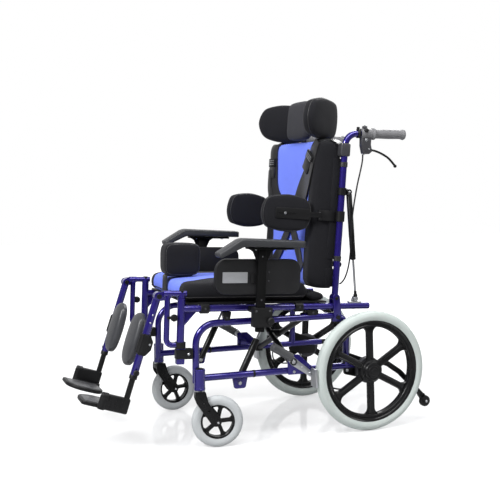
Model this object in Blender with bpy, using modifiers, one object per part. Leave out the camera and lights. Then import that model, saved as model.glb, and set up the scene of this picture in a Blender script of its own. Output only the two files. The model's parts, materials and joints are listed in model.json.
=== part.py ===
"""Multi-function wheelchair: rigid base, tilting seat, reclining back, swing-away leg rests.

Metres, +Z up. The chair faces -Y and its left side is +X. The floor is Z = 0.
"""
import math
from math import cos, radians, sin, sqrt, tan

import bmesh
import bpy
from mathutils import Matrix, Vector
from mathutils.bvhtree import BVHTree

# Clearances
SEAT_GAP = 0.0003        # between two pieces that rest on each other
PIN_PLAY = 0.0004        # round a pin in its bore
SLIDE_PLAY = 0.0005      # round a sliding post or rod

# Base frame
TUBE_R = 0.011
SEAT_HALF_WIDTH = 0.200
CUSHION_SIDE_GAP = 0.005
FRAME_X = SEAT_HALF_WIDTH + CUSHION_SIDE_GAP + TUBE_R
POST_Y = -0.254
POST_FOOT_Z = 0.200
TOP_RAIL_Z = 0.385
LOW_RAIL_Z = 0.214
UPRIGHT_Y = 0.2725
FRONT_BEND_R = 0.065
REAR_BEND_R = 0.045
LOW_RAIL_END_Y = 0.392
BRACE_Y = (0.0925, 0.1275)
BRACE_R = 0.010
HOUSING_R = 0.018
HOUSING_LENGTH = 0.066
PLATE_T = 0.004

# Rear wheels
AXLE_Y = 0.3425
AXLE_Z = 0.200
WHEEL_X = FRAME_X + 0.0396
TYRE_R = 0.200
TYRE_INNER_R = 0.170
TYRE_WIDTH = 0.036
RIM_DEPTH = 0.022
RIM_INNER_R = TYRE_INNER_R - RIM_DEPTH
RIM_WIDTH = 0.024
SPOKES = 6
SPOKE_WIDTH = 0.023
SPOKE_T = 0.016
SPOKE_PHASE = 92
WHEEL_STEPS = 24
HUB_R = 0.028
HUB_FACE_X = WHEEL_X + 0.0244
DRUM_R = 0.0445
BACKPLATE_R = 0.042
BACKPLATE_X = FRAME_X + 0.0114
BACKPLATE_T = 0.0022
AXLE_R = 0.006
AXLE_END_X = HUB_FACE_X - 0.003

# Casters
CASTER_X = FRAME_X + 0.0168
CASTER_Y = -0.2475
CASTER_TRAIL = 0.0556
CASTER_R = 0.081
CASTER_TYRE_INNER_R = 0.053
CASTER_TYRE_WIDTH = 0.030
CASTER_SPOKES = 5
CASTER_SPOKE_WIDTH = 0.012
CASTER_HUB_R = 0.014
CASTER_TURN = {1: -12.5, -1: 3.4}
FORK_GAP = 0.0185
FORK_T = 0.005
STEM_R = 0.0065
PIN_R = 0.004

# Anti-tip wheels and wheel locks
ANTI_TIP_R = 0.0095
ANTI_TIP_WHEEL_R = 0.0195
ANTI_TIP_WHEEL_WIDTH = 0.018
ANTI_TIP_AXLE = (0.5818, 0.0669)
LOCK_PIVOT = (0.0715, 0.246)
LOCK_X = FRAME_X + 0.016
LOCK_T = 0.005
LOCK_GRIP_R = 0.014
LOCK_SHOE_ANGLE = 182.5
LOCK_SHOE_GAP = 0.0010
LOCK_SHOE_T = 0.007
LOCK_SHOE_LENGTH = 0.060

# Seat, in a frame that lies along the seat rails with its origin on the tilt bolt
TILT_Y = 0.2345
TILT_Z = 0.381
SEAT_SLOPE = 2.0
SEAT_RAIL_Z = 0.0356
SEAT_RAIL_REAR_Y = 0.1195
HANGER_POST_Y = -0.5368
HANGER_POST_R = 0.012
HANGER_POST_TOP = 0.069
HANGER_POST_FOOT = -0.1357
TILT_PIN_R = 0.005
EAR_X = FRAME_X + 0.0115
BOARD_Z = 0.0470
BOARD_T = 0.006
BOARD_SIDE_GAP = 0.005
BOARD_FRONT_Y = -0.515
BOARD_REAR_Y = -0.035
CUSHION_FRONT_Y = -0.525
CUSHION_REAR_Y = -0.0985
CUSHION_TOP_Z = 0.119
CLIP_Y = (-0.462, -0.140)
CROSS_TUBE_Y = (-0.430, -0.070)
RECLINE_AXIS = (-0.0077, 0.0638)
RECLINE_FOOT = (0.0710, 0.0595)
TILT_TOP = (-0.2289, 0.0210)

# Tilt springs, in the base frame
TILT_SPRING_X = FRAME_X - 0.026
TILT_FOOT = (-0.1045, 0.186)
TILT_SPRING_R = 0.011
TILT_BODY_TOP = 0.150
TILT_ROD_R = 0.004
TILT_ROD_FOOT = 0.030

# Arms, in the seat frame
ARM_X = FRAME_X + 0.078
ARM_POST_Y = -0.305
ARM_POST_WIDTH = 0.028
ARM_POST_T = 0.016
ARM_POST_FOOT = -0.030
ARM_POST_TOP = 0.2275
SOCKET_LOW = -0.0145
SOCKET_HIGH = 0.0465
ARM_PLATE_T = 0.006
ARM_PAD_WIDTH = 0.052
ARM_PAD_REAR_Y = -0.166
ARM_PAD_BEND_Y = -0.386
ARM_PAD_TIP_Y = -0.453
ARM_PAD_DROP = 0.047
GUARD_T = 0.0215
GUARD_REAR_Y = -0.166
GUARD_FRONT_Y = -0.457
GUARD_LOW = 0.086
GUARD_HIGH = 0.196
LABEL = (-0.4300, -0.3470, 0.1215, 0.1560)
LABEL_T = 0.0008

# Back, in a frame along the canes with its origin on the recline bolt
BACK_LEAN = 4.0
CANE_CORNER_Z = 0.5424
CANE_BEND_R = 0.044
HANDLE_TUBE_LENGTH = 0.170
BACK_FRONT_Y = -0.090
BACK_LOW_Z = 0.040
BACK_HIGH_Z = 0.520
CROSS_BAR_R = 0.010
CROSS_BAR_Y = 0.008
CROSS_BAR_Z = (0.110, 0.475)
BACK_REAR_Y = CROSS_BAR_Y - CROSS_BAR_R - SEAT_GAP
RECLINE_TOP = (0.0258, 0.3514)
RECLINE_SPRING_R = 0.0095
RECLINE_BODY_FOOT = -0.2255
RECLINE_ROD_R = 0.0035
THORAX_HINGE = (FRAME_X - 0.008, -0.070, 0.269)
THORAX_TURN = 10.3
THORAX_SIZE = (0.040, 0.180, 0.122)
HEADREST_Z = 0.590
HEADREST_HEIGHT = 0.135
HEAD_POST_HALF = 0.010
HEAD_POST_Y = 0.0245
HEAD_POST_T = 0.008
WING_HINGE = (0.086, 0.003)
WING_TURN = 35.0
WING_LENGTH = 0.171
WING_T = 0.045
STRAP_WIDTH = 0.036
STRAP_T = 0.0025

# Push handles, in a level frame with its origin where the cane turns back
HANDLE_ORIGIN = (0.0375, CANE_CORNER_Z + 0.0375 * tan(radians(BACK_LEAN)))
GRIP_START = 0.069
GRIP_END = HANDLE_TUBE_LENGTH + 0.012
GRIP_R = 0.0155
LEVER_PIVOT = (0.045, -0.050)
LEVER_R = 0.0035
HOUSING_FOOT = -0.067
CABLE_R = 0.0025

# Leg rests
LEG_PIVOT = (-0.6098, 0.0755)
LEG_ANGLE = 15.8
LEG_X = FRAME_X - 0.011
SLEEVE_R = 0.012
SLEEVE_END = -0.2632
FOOT_TUBE_R = 0.009
FOOT_TUBE_END = -0.369
HANGER_TUBE_R = 0.009
HANGER_FRONT_Y = -0.5817
HANGER_TOP_Z = 0.0835
HANGER_LOW_Z = -0.0763
COLLAR_HEIGHT = 0.0184
PLATE_HINGE_X = LEG_X - 0.018
PLATE_HINGE_Z = -0.3695
FOOTPLATE_T = 0.009
FOOTPLATE_WIDTH = 0.128
FOOTPLATE_TOE_Y = -0.123
FOOTPLATE_HEEL_Y = 0.002
CALF_Z = -0.153
CALF_SIDE_GAP = 0.030
CALF_SIZE = (0.108, 0.035, 0.170)

BLUE_PAINT = ((0.05, 0.03, 0.38), 0.30, 0.35)
STEEL = ((0.55, 0.56, 0.58), 0.30, 1.0)
BLACK_METAL = ((0.03, 0.03, 0.03), 0.40, 0.3)
BLACK_PLASTIC = ((0.03, 0.03, 0.035), 0.50, 0.0)
GREY_PLASTIC = ((0.20, 0.20, 0.21), 0.50, 0.0)
BLACK_FABRIC = ((0.03, 0.03, 0.03), 0.90, 0.0)
BLUE_FABRIC = ((0.13, 0.20, 0.75), 0.90, 0.0)
TYRE_RUBBER = ((0.25, 0.25, 0.26), 0.80, 0.0)

for old in list(bpy.data.objects):
    bpy.data.objects.remove(old, do_unlink=True)

chair = bpy.data.collections.new("wheelchair")
bpy.context.scene.collection.children.link(chair)


# Shape helpers

def add(name, mesh):
    obj = bpy.data.objects.new(name, mesh)
    chair.objects.link(obj)
    return obj


def from_bmesh(bm):
    mesh = bpy.data.meshes.new("shape")
    bm.to_mesh(mesh)
    bm.free()
    return add("shape", mesh)


def cleaned(mesh):
    """Weld a mesh's loose caps and turn its faces outwards."""
    bm = bmesh.new()
    bm.from_mesh(mesh)
    bmesh.ops.remove_doubles(bm, verts=bm.verts[:], dist=1e-5)
    bmesh.ops.recalc_face_normals(bm, faces=bm.faces[:])
    bm.to_mesh(mesh)
    bm.free()
    return mesh


def as_mesh(obj):
    """Replace a curve, or an object with modifiers, by its evaluated mesh."""
    graph = bpy.context.evaluated_depsgraph_get()
    mesh = bpy.data.meshes.new_from_object(obj.evaluated_get(graph))
    bpy.data.objects.remove(obj, do_unlink=True)
    return add("shape", cleaned(mesh))


def box(size, centre, bevel=0.0, segments=1, turn=None):
    bm = bmesh.new()
    bmesh.ops.create_cube(bm, size=1.0)
    bmesh.ops.scale(bm, vec=Vector(size), verts=bm.verts[:])
    if bevel:
        bmesh.ops.bevel(bm, geom=bm.edges[:], offset=bevel, segments=segments, affect="EDGES",
                        profile=0.5, material=-1)
    if turn:
        axis, angle = turn
        bmesh.ops.rotate(bm, cent=(0, 0, 0), matrix=Matrix.Rotation(radians(angle), 3, axis),
                         verts=bm.verts[:])
    bmesh.ops.translate(bm, vec=Vector(centre), verts=bm.verts[:])
    return from_bmesh(bm)


def drum(radius, low, high, centre, axis="X", sides=10, end_radius=None):
    """A cylinder or cone from low to high along an axis through centre, which names the other two."""
    bm = bmesh.new()
    bmesh.ops.create_cone(bm, cap_ends=True, segments=sides, radius1=radius,
                          radius2=radius if end_radius is None else end_radius, depth=high - low)
    middle = (low + high) / 2
    turns = {"X": Matrix.Rotation(radians(90), 3, "Y"), "Y": Matrix.Rotation(radians(-90), 3, "X"),
             "Z": Matrix.Identity(3)}
    places = {"X": (middle, centre[0], centre[1]), "Y": (centre[0], middle, centre[1]),
              "Z": (centre[0], centre[1], middle)}
    bmesh.ops.rotate(bm, cent=(0, 0, 0), matrix=turns[axis], verts=bm.verts[:])
    bmesh.ops.translate(bm, vec=Vector(places[axis]), verts=bm.verts[:])
    return from_bmesh(bm)


def bore(radius, low, high, centre, axis="X", sides=8):
    """A hole's cutter, wide enough for radius to fit between its flats."""
    return drum(radius / cos(math.pi / sides), low, high, centre, axis, sides)


def bent(points, radii, steps):
    """A run of points with each inner corner replaced by an arc of its bend radius."""
    route = [Vector(points[0])]
    for before, corner, after, radius in zip(points, points[1:], points[2:], radii):
        corner = Vector(corner)
        back = (Vector(before) - corner).normalized()
        ahead = (Vector(after) - corner).normalized()
        half = back.angle(ahead) / 2
        centre = corner + (back + ahead).normalized() * (radius / sin(half))
        first = corner + back * (radius / tan(half)) - centre
        last = corner + ahead * (radius / tan(half)) - centre
        for step in range(steps + 1):
            route.append(centre + first.slerp(last, step / steps) * radius)
    route.append(Vector(points[-1]))
    return route


def pipe(points, radius, bends=0.0, resolution=2, steps=3):
    """A round tube along points, with its corners bent."""
    radii = bends if isinstance(bends, (list, tuple)) else [bends] * (len(points) - 2)
    route = bent(points, radii, steps) if len(points) > 2 and radii[0] else [Vector(p) for p in points]
    curve = bpy.data.curves.new("tube", "CURVE")
    curve.dimensions = "3D"
    spline = curve.splines.new("POLY")
    spline.points.add(len(route) - 1)
    for point, place in zip(spline.points, route):
        point.co = (*place, 1.0)
    curve.bevel_depth = radius
    curve.bevel_resolution = resolution
    curve.use_fill_caps = True
    return as_mesh(add("tube", curve))


def rounded(points, radius, steps=2):
    """A closed outline whose corners are arcs; radius is one size, or one for each corner."""
    radii = radius if isinstance(radius, (list, tuple)) else [radius] * len(points)
    outline = []
    count = len(points)
    for index, size in enumerate(radii):
        if not size:
            outline.append(Vector(points[index]))
            continue
        run = bent([(*points[index - 1], 0), (*points[index], 0), (*points[(index + 1) % count], 0)],
                   [size], steps)
        outline.extend(place.to_2d() for place in run[1:-1])
    return outline


def arc(centre, radius, start, end, steps):
    return [Vector((centre[0] + radius * cos(radians(start + (end - start) * k / steps)),
                    centre[1] + radius * sin(radians(start + (end - start) * k / steps))))
            for k in range(steps + 1)]


def circle(centre, radius, steps=16):
    return arc(centre, radius, 0, 360 * (steps - 1) / steps, steps - 1)


def sheet(outline, low, high, normal="X", holes=()):
    """A flat outline with holes, made solid from low to high along its normal."""
    curve = bpy.data.curves.new("outline", "CURVE")
    curve.dimensions = "2D"
    curve.fill_mode = "BOTH"
    curve.extrude = (high - low) / 2
    for loop in (outline, *holes):
        spline = curve.splines.new("POLY")
        spline.points.add(len(loop) - 1)
        for point, place in zip(spline.points, loop):
            point.co = (place[0], place[1], 0.0, 1.0)
        spline.use_cyclic_u = True
    obj = as_mesh(add("outline", curve))
    frames = {"X": Matrix(((0, 0, 1), (1, 0, 0), (0, 1, 0))),
              "Y": Matrix(((1, 0, 0), (0, 0, -1), (0, 1, 0))),
              "Z": Matrix.Identity(3)}
    middle = (low + high) / 2
    place = Vector({"X": (middle, 0, 0), "Y": (0, middle, 0), "Z": (0, 0, middle)}[normal])
    obj.data.transform(Matrix.Translation(place) @ frames[normal].to_4x4())
    return obj


def capsule(start, end, start_r, end_r, steps=3):
    """An outline round two circles, as a link or a lug has."""
    start, end = Vector(start), Vector(end)
    run = end - start
    heading = math.degrees(math.atan2(run.y, run.x))
    lean = math.degrees(math.acos((start_r - end_r) / run.length))
    return (arc(end, end_r, heading - lean, heading + lean, steps)
            + arc(start, start_r, heading + lean, heading + 360 - lean, steps))


def turned(profile, steps, centre, axis="X", closed=False):
    """A profile of (radius, distance along the axis) turned round the axis."""
    bm = bmesh.new()
    verts = [bm.verts.new((radius, 0, along)) for radius, along in profile]
    pairs = list(zip(verts, verts[1:])) + ([(verts[-1], verts[0])] if closed else [])
    for first, second in pairs:
        bm.edges.new((first, second))
    obj = from_bmesh(bm)
    screw = obj.modifiers.new("turn", "SCREW")
    screw.axis = "Z"
    screw.steps = screw.render_steps = steps
    screw.use_merge_vertices = True
    screw.merge_threshold = 1e-5
    obj = as_mesh(obj)
    if axis == "X":
        obj.data.transform(Matrix.Rotation(radians(90), 4, "Y"))
    obj.data.transform(Matrix.Translation(Vector(centre)))
    return obj


def simplified(mesh):
    """Merge the flat faces and straight edges that a Boolean leaves divided."""
    bm = bmesh.new()
    bm.from_mesh(mesh)
    bmesh.ops.dissolve_limit(bm, angle_limit=radians(0.3), use_dissolve_boundaries=False,
                             verts=bm.verts[:], edges=bm.edges[:])
    bmesh.ops.remove_doubles(bm, verts=bm.verts[:], dist=2e-5)
    bm.to_mesh(mesh)
    bm.free()


def combine(base, tools, operation):
    for tool in tools:
        cutter = base.modifiers.new(operation.lower(), "BOOLEAN")
        cutter.operation = operation
        cutter.solver = "EXACT"
        cutter.object = tool
    result = as_mesh(base)
    for tool in tools:
        bpy.data.objects.remove(tool, do_unlink=True)
    return result


def join(base, *tools):
    return combine(base, tools, "UNION")


def cut(base, *tools):
    return combine(base, tools, "DIFFERENCE")


def pad(low, high, cuts, flat="Z", oval=0.0, drawn=(0.0, 0.0), crown=0.0, crowned=(-1, 1), shape=None,
        fill=True):
    """A soft form from a coarse cage: rounded corners, drawn-in sides and crowned faces.

    With fill, the smoothed form is stretched back to the full box from low to high.
    """
    low, high = Vector(low), Vector(high)
    thick = "XYZ".index(flat)
    across, along = [axis for axis in range(3) if axis != thick]
    bm = bmesh.new()
    bmesh.ops.create_cube(bm, size=2.0)
    for axis, count in zip((across, along, thick), cuts):
        runs = [edge for edge in bm.edges
                if abs(edge.verts[0].co[axis] - edge.verts[1].co[axis]) > 1e-4]
        if count:
            bmesh.ops.subdivide_edges(bm, edges=runs, cuts=count, use_grid_fill=True)
    for vert in bm.verts:
        place = vert.co.copy()
        a, b = (sin(place[axis] * math.pi / 2) for axis in (across, along))
        vert.co[across] = a * sqrt(1 - oval * b * b / 2) * (1 - drawn[0] * (1 - b * b))
        vert.co[along] = b * sqrt(1 - oval * a * a / 2) * (1 - drawn[1] * (1 - a * a))
        if (place[thick] > 0) - (place[thick] < 0) in (*crowned, 0):
            vert.co[thick] = place[thick] * (1 - crown * (1 - (1 - a ** 4) * (1 - b ** 4)))
        vert.co = (low + high) / 2 + Vector(half * part for half, part in zip((high - low) / 2, vert.co))
        if shape:
            vert.co = shape(vert.co.copy(), a, b, place[thick])
    obj = from_bmesh(bm)
    smooth = obj.modifiers.new("soft", "SUBSURF")
    smooth.levels = smooth.render_levels = 1
    obj = as_mesh(obj)
    if fill:
        for axis in range(3):
            places = [vert.co[axis] for vert in obj.data.vertices]
            scale = (high[axis] - low[axis]) / (max(places) - min(places))
            for vert in obj.data.vertices:
                vert.co[axis] = low[axis] + (vert.co[axis] - min(places)) * scale
    return obj


def empty(name, parent=None, location=(0, 0, 0), rotation=(0, 0, 0)):
    obj = bpy.data.objects.new(name, None)
    bpy.context.scene.collection.objects.link(obj)
    obj.location = location
    obj.rotation_euler = [radians(angle) for angle in rotation]
    obj.parent = parent
    obj.empty_display_size = 0.03
    return obj


def finish(obj, name, look, pivot=None, frame=None):
    """Name a piece, give it its material and put it on its pivot.

    The shape is drawn in frame; where that is the pivot's parent, it is moved to the pivot's own origin.
    """
    colour, roughness, metallic = look
    obj.name = name
    obj.data.name = name
    simplified(obj.data)
    material = bpy.data.materials.new(name)
    material.use_nodes = True
    shader = material.node_tree.nodes["Principled BSDF"]
    shader.inputs["Base Color"].default_value = (*colour, 1.0)
    shader.inputs["Roughness"].default_value = roughness
    shader.inputs["Metallic"].default_value = metallic
    obj.data.materials.clear()
    obj.data.materials.append(material)
    obj.data.shade_smooth()
    obj.data.set_sharp_from_angle(angle=radians(35))
    if pivot:
        if frame == "parent":
            obj.data.transform(pivot.matrix_basis.inverted())
        obj.parent = pivot
    return obj


def side_name(name, side):
    return name + ("_left" if side > 0 else "_right")


def across(side, first, second):
    """The lower and upper X of a span that is given for the left side."""
    return tuple(sorted((side * first, side * second)))


# Base frame

def seat_underside(y, drop=TUBE_R):
    """Height of a line below the seat rail's centre, at world y."""
    slope = radians(SEAT_SLOPE)
    return TILT_Z + (TILT_Y - y) * tan(slope) + (SEAT_RAIL_Z - drop) / cos(slope)


def rest_block(side, middle, top_width, foot_width):
    low_z = TOP_RAIL_Z + TUBE_R * 0.6
    front, rear = middle - top_width / 2, middle + top_width / 2
    outline = [(middle - foot_width / 2, low_z), (middle + foot_width / 2, low_z),
               (rear, seat_underside(rear) - SEAT_GAP), (front, seat_underside(front) - SEAT_GAP)]
    return sheet(outline, *across(side, FRAME_X - 0.010, FRAME_X + 0.010))


def side_frame(side):
    x = side * FRAME_X
    loop = pipe([(x, POST_Y, POST_FOOT_Z), (x, POST_Y, TOP_RAIL_Z), (x, UPRIGHT_Y, TOP_RAIL_Z),
                 (x, UPRIGHT_Y, LOW_RAIL_Z)], TUBE_R, [FRONT_BEND_R, REAR_BEND_R])
    rail = pipe([(x, POST_Y, LOW_RAIL_Z), (x, LOW_RAIL_END_Y, LOW_RAIL_Z)], TUBE_R)
    housing_z = LOW_RAIL_Z - HOUSING_LENGTH / 2
    housing = drum(HOUSING_R, housing_z, housing_z + HOUSING_LENGTH, (side * CASTER_X, CASTER_Y), "Z", 16)
    gusset = sheet([(0.0625, LOW_RAIL_Z), (0.1315, LOW_RAIL_Z), (0.0625, 0.2437)],
                   x - PLATE_T / 2, x + PLATE_T / 2)
    foot_y, foot_z = TILT_FOOT
    foot_plate = sheet(rounded([(foot_y - 0.026, LOW_RAIL_Z - 0.004), (foot_y - 0.018, foot_z - 0.018),
                                (foot_y + 0.020, foot_z - 0.018), (foot_y + 0.029, LOW_RAIL_Z - 0.004)],
                               [0, 0.008, 0.008, 0]), *across(side, FRAME_X - 0.0125, FRAME_X - 0.0065))
    foot_pin = drum(PIN_R, *across(side, FRAME_X - 0.034, FRAME_X - 0.01), TILT_FOOT, sides=8)
    foot_head = drum(0.0065, *across(side, FRAME_X - 0.0355, FRAME_X - 0.0328), TILT_FOOT, sides=8)
    rests = [rest_block(side, -0.1525, 0.029, 0.018), rest_block(side, 0.1465, 0.040, 0.036)]
    pivot_block = box((0.020, 0.030, 0.030), (x, TILT_Y, TILT_Z))
    axle_plate = sheet(rounded([(UPRIGHT_Y - 0.012, 0.188), (AXLE_Y - 0.022, AXLE_Z - 0.028),
                                (AXLE_Y + 0.028, AXLE_Z - 0.028), (AXLE_Y + 0.028, AXLE_Z + 0.024),
                                (UPRIGHT_Y + 0.014, 0.256), (UPRIGHT_Y - 0.012, 0.256)], 0.010),
                       *across(side, FRAME_X + 0.0035, FRAME_X + 0.008))
    axle = (AXLE_Y, AXLE_Z)
    boss = drum(0.020, *across(side, FRAME_X + 0.0075, BACKPLATE_X + 0.0005), axle, sides=12)
    backplate = drum(BACKPLATE_R, *across(side, BACKPLATE_X, BACKPLATE_X + BACKPLATE_T), axle, sides=20)
    axle_pin = drum(AXLE_R, *across(side, FRAME_X + 0.0065, AXLE_END_X), axle, sides=10)
    lock_y, lock_z = LOCK_PIVOT
    lock_plate = sheet(rounded([(lock_y - 0.018, 0.203), (lock_y + 0.072, 0.203), (lock_y + 0.072, 0.222),
                                (lock_y + 0.020, lock_z + 0.022), (lock_y - 0.018, lock_z + 0.022)], 0.006),
                       *across(side, EAR_X, EAR_X + PLATE_T))
    lock_clamp = box((0.008, 0.070, 0.016), (side * (FRAME_X + 0.0088), lock_y + 0.027, LOW_RAIL_Z))
    lock_pin = drum(PIN_R, *across(side, FRAME_X + 0.014, LOCK_X + LOCK_T + 0.0015), LOCK_PIVOT, sides=8)
    lock_head = drum(0.007, *across(side, LOCK_X + LOCK_T + 0.0005, LOCK_X + LOCK_T + 0.0030),
                     LOCK_PIVOT, sides=8)
    drum_cable = pipe([(side * (FRAME_X + 0.0122), AXLE_Y - 0.030, AXLE_Z - 0.034),
                       (side * (FRAME_X + 0.0122), AXLE_Y - 0.052, 0.142),
                       (side * (FRAME_X + 0.011), AXLE_Y - 0.105, 0.140),
                       (side * (FRAME_X + 0.002), AXLE_Y - 0.150, 0.160),
                       (side * FRAME_X, AXLE_Y - 0.150, 0.206)], 0.0028, resolution=0)
    frame = join(loop, rail, housing, gusset, foot_plate, foot_pin, foot_head, *rests, pivot_block,
                 axle_plate, boss, backplate, axle_pin, lock_plate, lock_clamp, lock_pin, lock_head,
                 drum_cable)
    stem_bore = bore(STEM_R + PIN_PLAY, housing_z - 0.01, 0.240, (side * CASTER_X, CASTER_Y), "Z")
    tilt_bore = bore(TILT_PIN_R + PIN_PLAY, *across(side, FRAME_X - 0.016, FRAME_X + 0.016),
                     (TILT_Y, TILT_Z))
    frame = cut(frame, stem_bore, tilt_bore)
    return finish(frame, side_name("side_frame", side), BLUE_PAINT)


def cross_brace():
    pieces = []
    lug = (0.0145, 0.026, 0.026)
    lug_x = FRAME_X - TUBE_R - SEAT_GAP - lug[0] / 2
    for side, y in zip((1, -1), BRACE_Y):
        pieces.append(pipe([(side * lug_x, y, LOW_RAIL_Z), (-side * lug_x, y, TOP_RAIL_Z)], BRACE_R))
        pieces.append(box(lug, (side * lug_x, y, LOW_RAIL_Z)))
        pieces.append(box(lug, (-side * lug_x, y, TOP_RAIL_Z)))
    centre = (0, (LOW_RAIL_Z + TOP_RAIL_Z) / 2)
    pieces.append(drum(0.013, BRACE_Y[0], BRACE_Y[1], centre, "Y", 10))
    pieces.append(drum(0.006, BRACE_Y[0] - BRACE_R - 0.005, BRACE_Y[1] + BRACE_R + 0.005, centre, "Y", 8))
    return finish(join(*pieces), "cross_brace", BLACK_METAL)


def anti_tip(side, parent):
    x = side * FRAME_X
    end = Vector((0.5656, 0.0924))
    axle = Vector(ANTI_TIP_AXLE)
    tube = pipe([(x, LOW_RAIL_END_Y + SEAT_GAP, LOW_RAIL_Z), (x, 0.424, LOW_RAIL_Z), (x, 0.4790, 0.1770),
                 (x, *end)], ANTI_TIP_R, [0.05, 0.05], steps=2)
    half = ANTI_TIP_WHEEL_WIDTH / 2 + 0.0008
    heading = (axle - end).normalized()
    bridge_at = axle - heading * (ANTI_TIP_WHEEL_R + 0.006)
    angle = math.degrees(math.atan2(heading.y, heading.x))
    bridge = box((2 * half + 0.006, 0.010, 0.018), (x, *bridge_at), turn=("X", angle))
    plates = [sheet(capsule(bridge_at, axle, 0.008, 0.007, 3), *across(side, FRAME_X + e * half,
                    FRAME_X + e * (half + 0.003))) for e in (-1, 1)]
    pin = drum(0.003, *across(side, FRAME_X - half - 0.001, FRAME_X + half + 0.001), axle, sides=8)
    finish(join(tube, bridge, *plates, pin), side_name("anti_tip_tube", side), BLACK_METAL)
    axis = empty(side_name("anti_tip_axis", side), parent, (x, *axle))
    half = ANTI_TIP_WHEEL_WIDTH / 2
    inner = (0.003 + PIN_PLAY) / cos(math.pi / 16)
    wheel = turned([(inner, -half), (0.016, -half), (ANTI_TIP_WHEEL_R, -half + 0.004),
                    (ANTI_TIP_WHEEL_R, half - 0.004), (0.016, half), (inner, half)], 16, (0, 0, 0),
                   closed=True)
    finish(wheel, side_name("anti_tip_wheel", side), GREY_PLASTIC, axis)


def wheel_lock(side, parent):
    y, z = LOCK_PIVOT
    axis = empty(side_name("lock_axis", side), parent, (0, y, z))
    arm = sheet(capsule((y, z), (y - 0.016, z + 0.020), 0.013, 0.010),
                *across(side, LOCK_X, LOCK_X + LOCK_T))
    link = sheet(capsule((y, z), (y + 0.064, z - 0.046), 0.013, 0.008),
                 *across(side, LOCK_X, LOCK_X + LOCK_T))
    out = Vector((cos(radians(LOCK_SHOE_ANGLE)), sin(radians(LOCK_SHOE_ANGLE))))
    along = Vector((out.y, -out.x))
    middle = Vector((AXLE_Y, AXLE_Z)) + out * (TYRE_R + LOCK_SHOE_GAP + LOCK_SHOE_T / 2)
    half_t, half_l = out * LOCK_SHOE_T / 2, along * LOCK_SHOE_LENGTH / 2
    shoe = sheet([middle + half_t + half_l, middle + half_t - half_l, middle - half_t - half_l,
                  middle - half_t + half_l], *across(side, LOCK_X + 0.0005, WHEEL_X + 0.015))
    x = side * (LOCK_X + LOCK_GRIP_R + 0.0005)
    grip = pipe([(x, y - 0.0100, z + 0.0155), (x, y - 0.0810, z + 0.0578)], LOCK_GRIP_R)
    lock = join(link, arm, shoe, grip)
    head_room = drum(0.0085, *across(side, LOCK_X + LOCK_T + 0.0001, LOCK_X + 0.035), LOCK_PIVOT, sides=10)
    hole = bore(PIN_R + PIN_PLAY, *across(side, LOCK_X - 0.01, LOCK_X + 0.01), LOCK_PIVOT)
    finish(cut(lock, hole, head_room), side_name("wheel_lock", side), BLACK_PLASTIC, axis, "parent")


def windows(count, phase, inner, outer, width, fillets, steps=4):
    """The openings between straight spokes, with rounded corners."""
    loops = []
    for index in range(count):
        first, second = (radians(phase + 360 * (index + k) / count) for k in (0, 1))
        corners = []
        for radius, order in ((inner, 1), (outer, -1)):
            run = sqrt(radius ** 2 - (width / 2) ** 2)
            ends = [Vector((run * cos(angle) - shift * sin(angle), run * sin(angle) + shift * cos(angle)))
                    for angle, shift in ((first, width / 2), (second, -width / 2))]
            corners.append(ends[::-1] if order > 0 else ends)
        start = math.degrees(math.atan2(corners[1][0].y, corners[1][0].x))
        end = math.degrees(math.atan2(corners[1][1].y, corners[1][1].x))
        if end < start:
            end += 360
        rim = arc((0, 0), outer, start, end, steps)[1:-1]
        points = [corners[0][1], corners[1][0], *rim, corners[1][1], corners[0][0]]
        radii = [fillets[0], fillets[1]] + [0] * len(rim) + [fillets[1], fillets[0]]
        loops.append(rounded(points, radii, 2))
    return loops


def rear_wheel_mesh():
    """The left wheel about its own axle point at the middle of the tyre."""
    half = RIM_WIDTH / 2
    seat_r = TYRE_INNER_R - SEAT_GAP
    rim = turned([(RIM_INNER_R, -half), (TYRE_INNER_R - 0.007, -half), (seat_r, -half - 0.003),
                  (seat_r, half + 0.003), (TYRE_INNER_R - 0.007, half), (RIM_INNER_R, half)], WHEEL_STEPS,
                 (0, 0, 0), closed=True)
    disc = sheet(circle((0, 0), RIM_INNER_R + 0.010, WHEEL_STEPS), -SPOKE_T / 2, SPOKE_T / 2,
                 holes=windows(SPOKES, SPOKE_PHASE, 0.040, RIM_INNER_R + 0.003, SPOKE_WIDTH, (0.006, 0.016),
                               3))
    brake_drum = drum(DRUM_R, BACKPLATE_X + BACKPLATE_T + SEAT_GAP - WHEEL_X, -SPOKE_T / 2 + 0.001, (0, 0),
                      sides=16)
    hub = drum(HUB_R, SPOKE_T / 2 - 0.001, HUB_FACE_X - WHEEL_X, (0, 0), sides=12)
    cap = drum(0.024, HUB_FACE_X - WHEEL_X - 0.001, 0.032, (0, 0), end_radius=0.017)
    wheel = join(rim, disc, brake_drum, hub, cap)
    hole = bore(AXLE_R + PIN_PLAY, -0.04, AXLE_END_X - WHEEL_X + 0.001, (0, 0))
    return cut(wheel, hole)


def tyre_mesh():
    half = TYRE_WIDTH / 2
    height = TYRE_R - TYRE_INNER_R
    widest, shoulder = TYRE_INNER_R + height * 0.4, TYRE_R - height / 6
    return turned([(TYRE_INNER_R, -0.015), (widest, -half), (shoulder, -0.0125), (TYRE_R, 0.0),
                   (shoulder, 0.0125), (widest, half), (TYRE_INNER_R, 0.015)], WHEEL_STEPS, (0, 0, 0),
                  closed=True)


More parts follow.
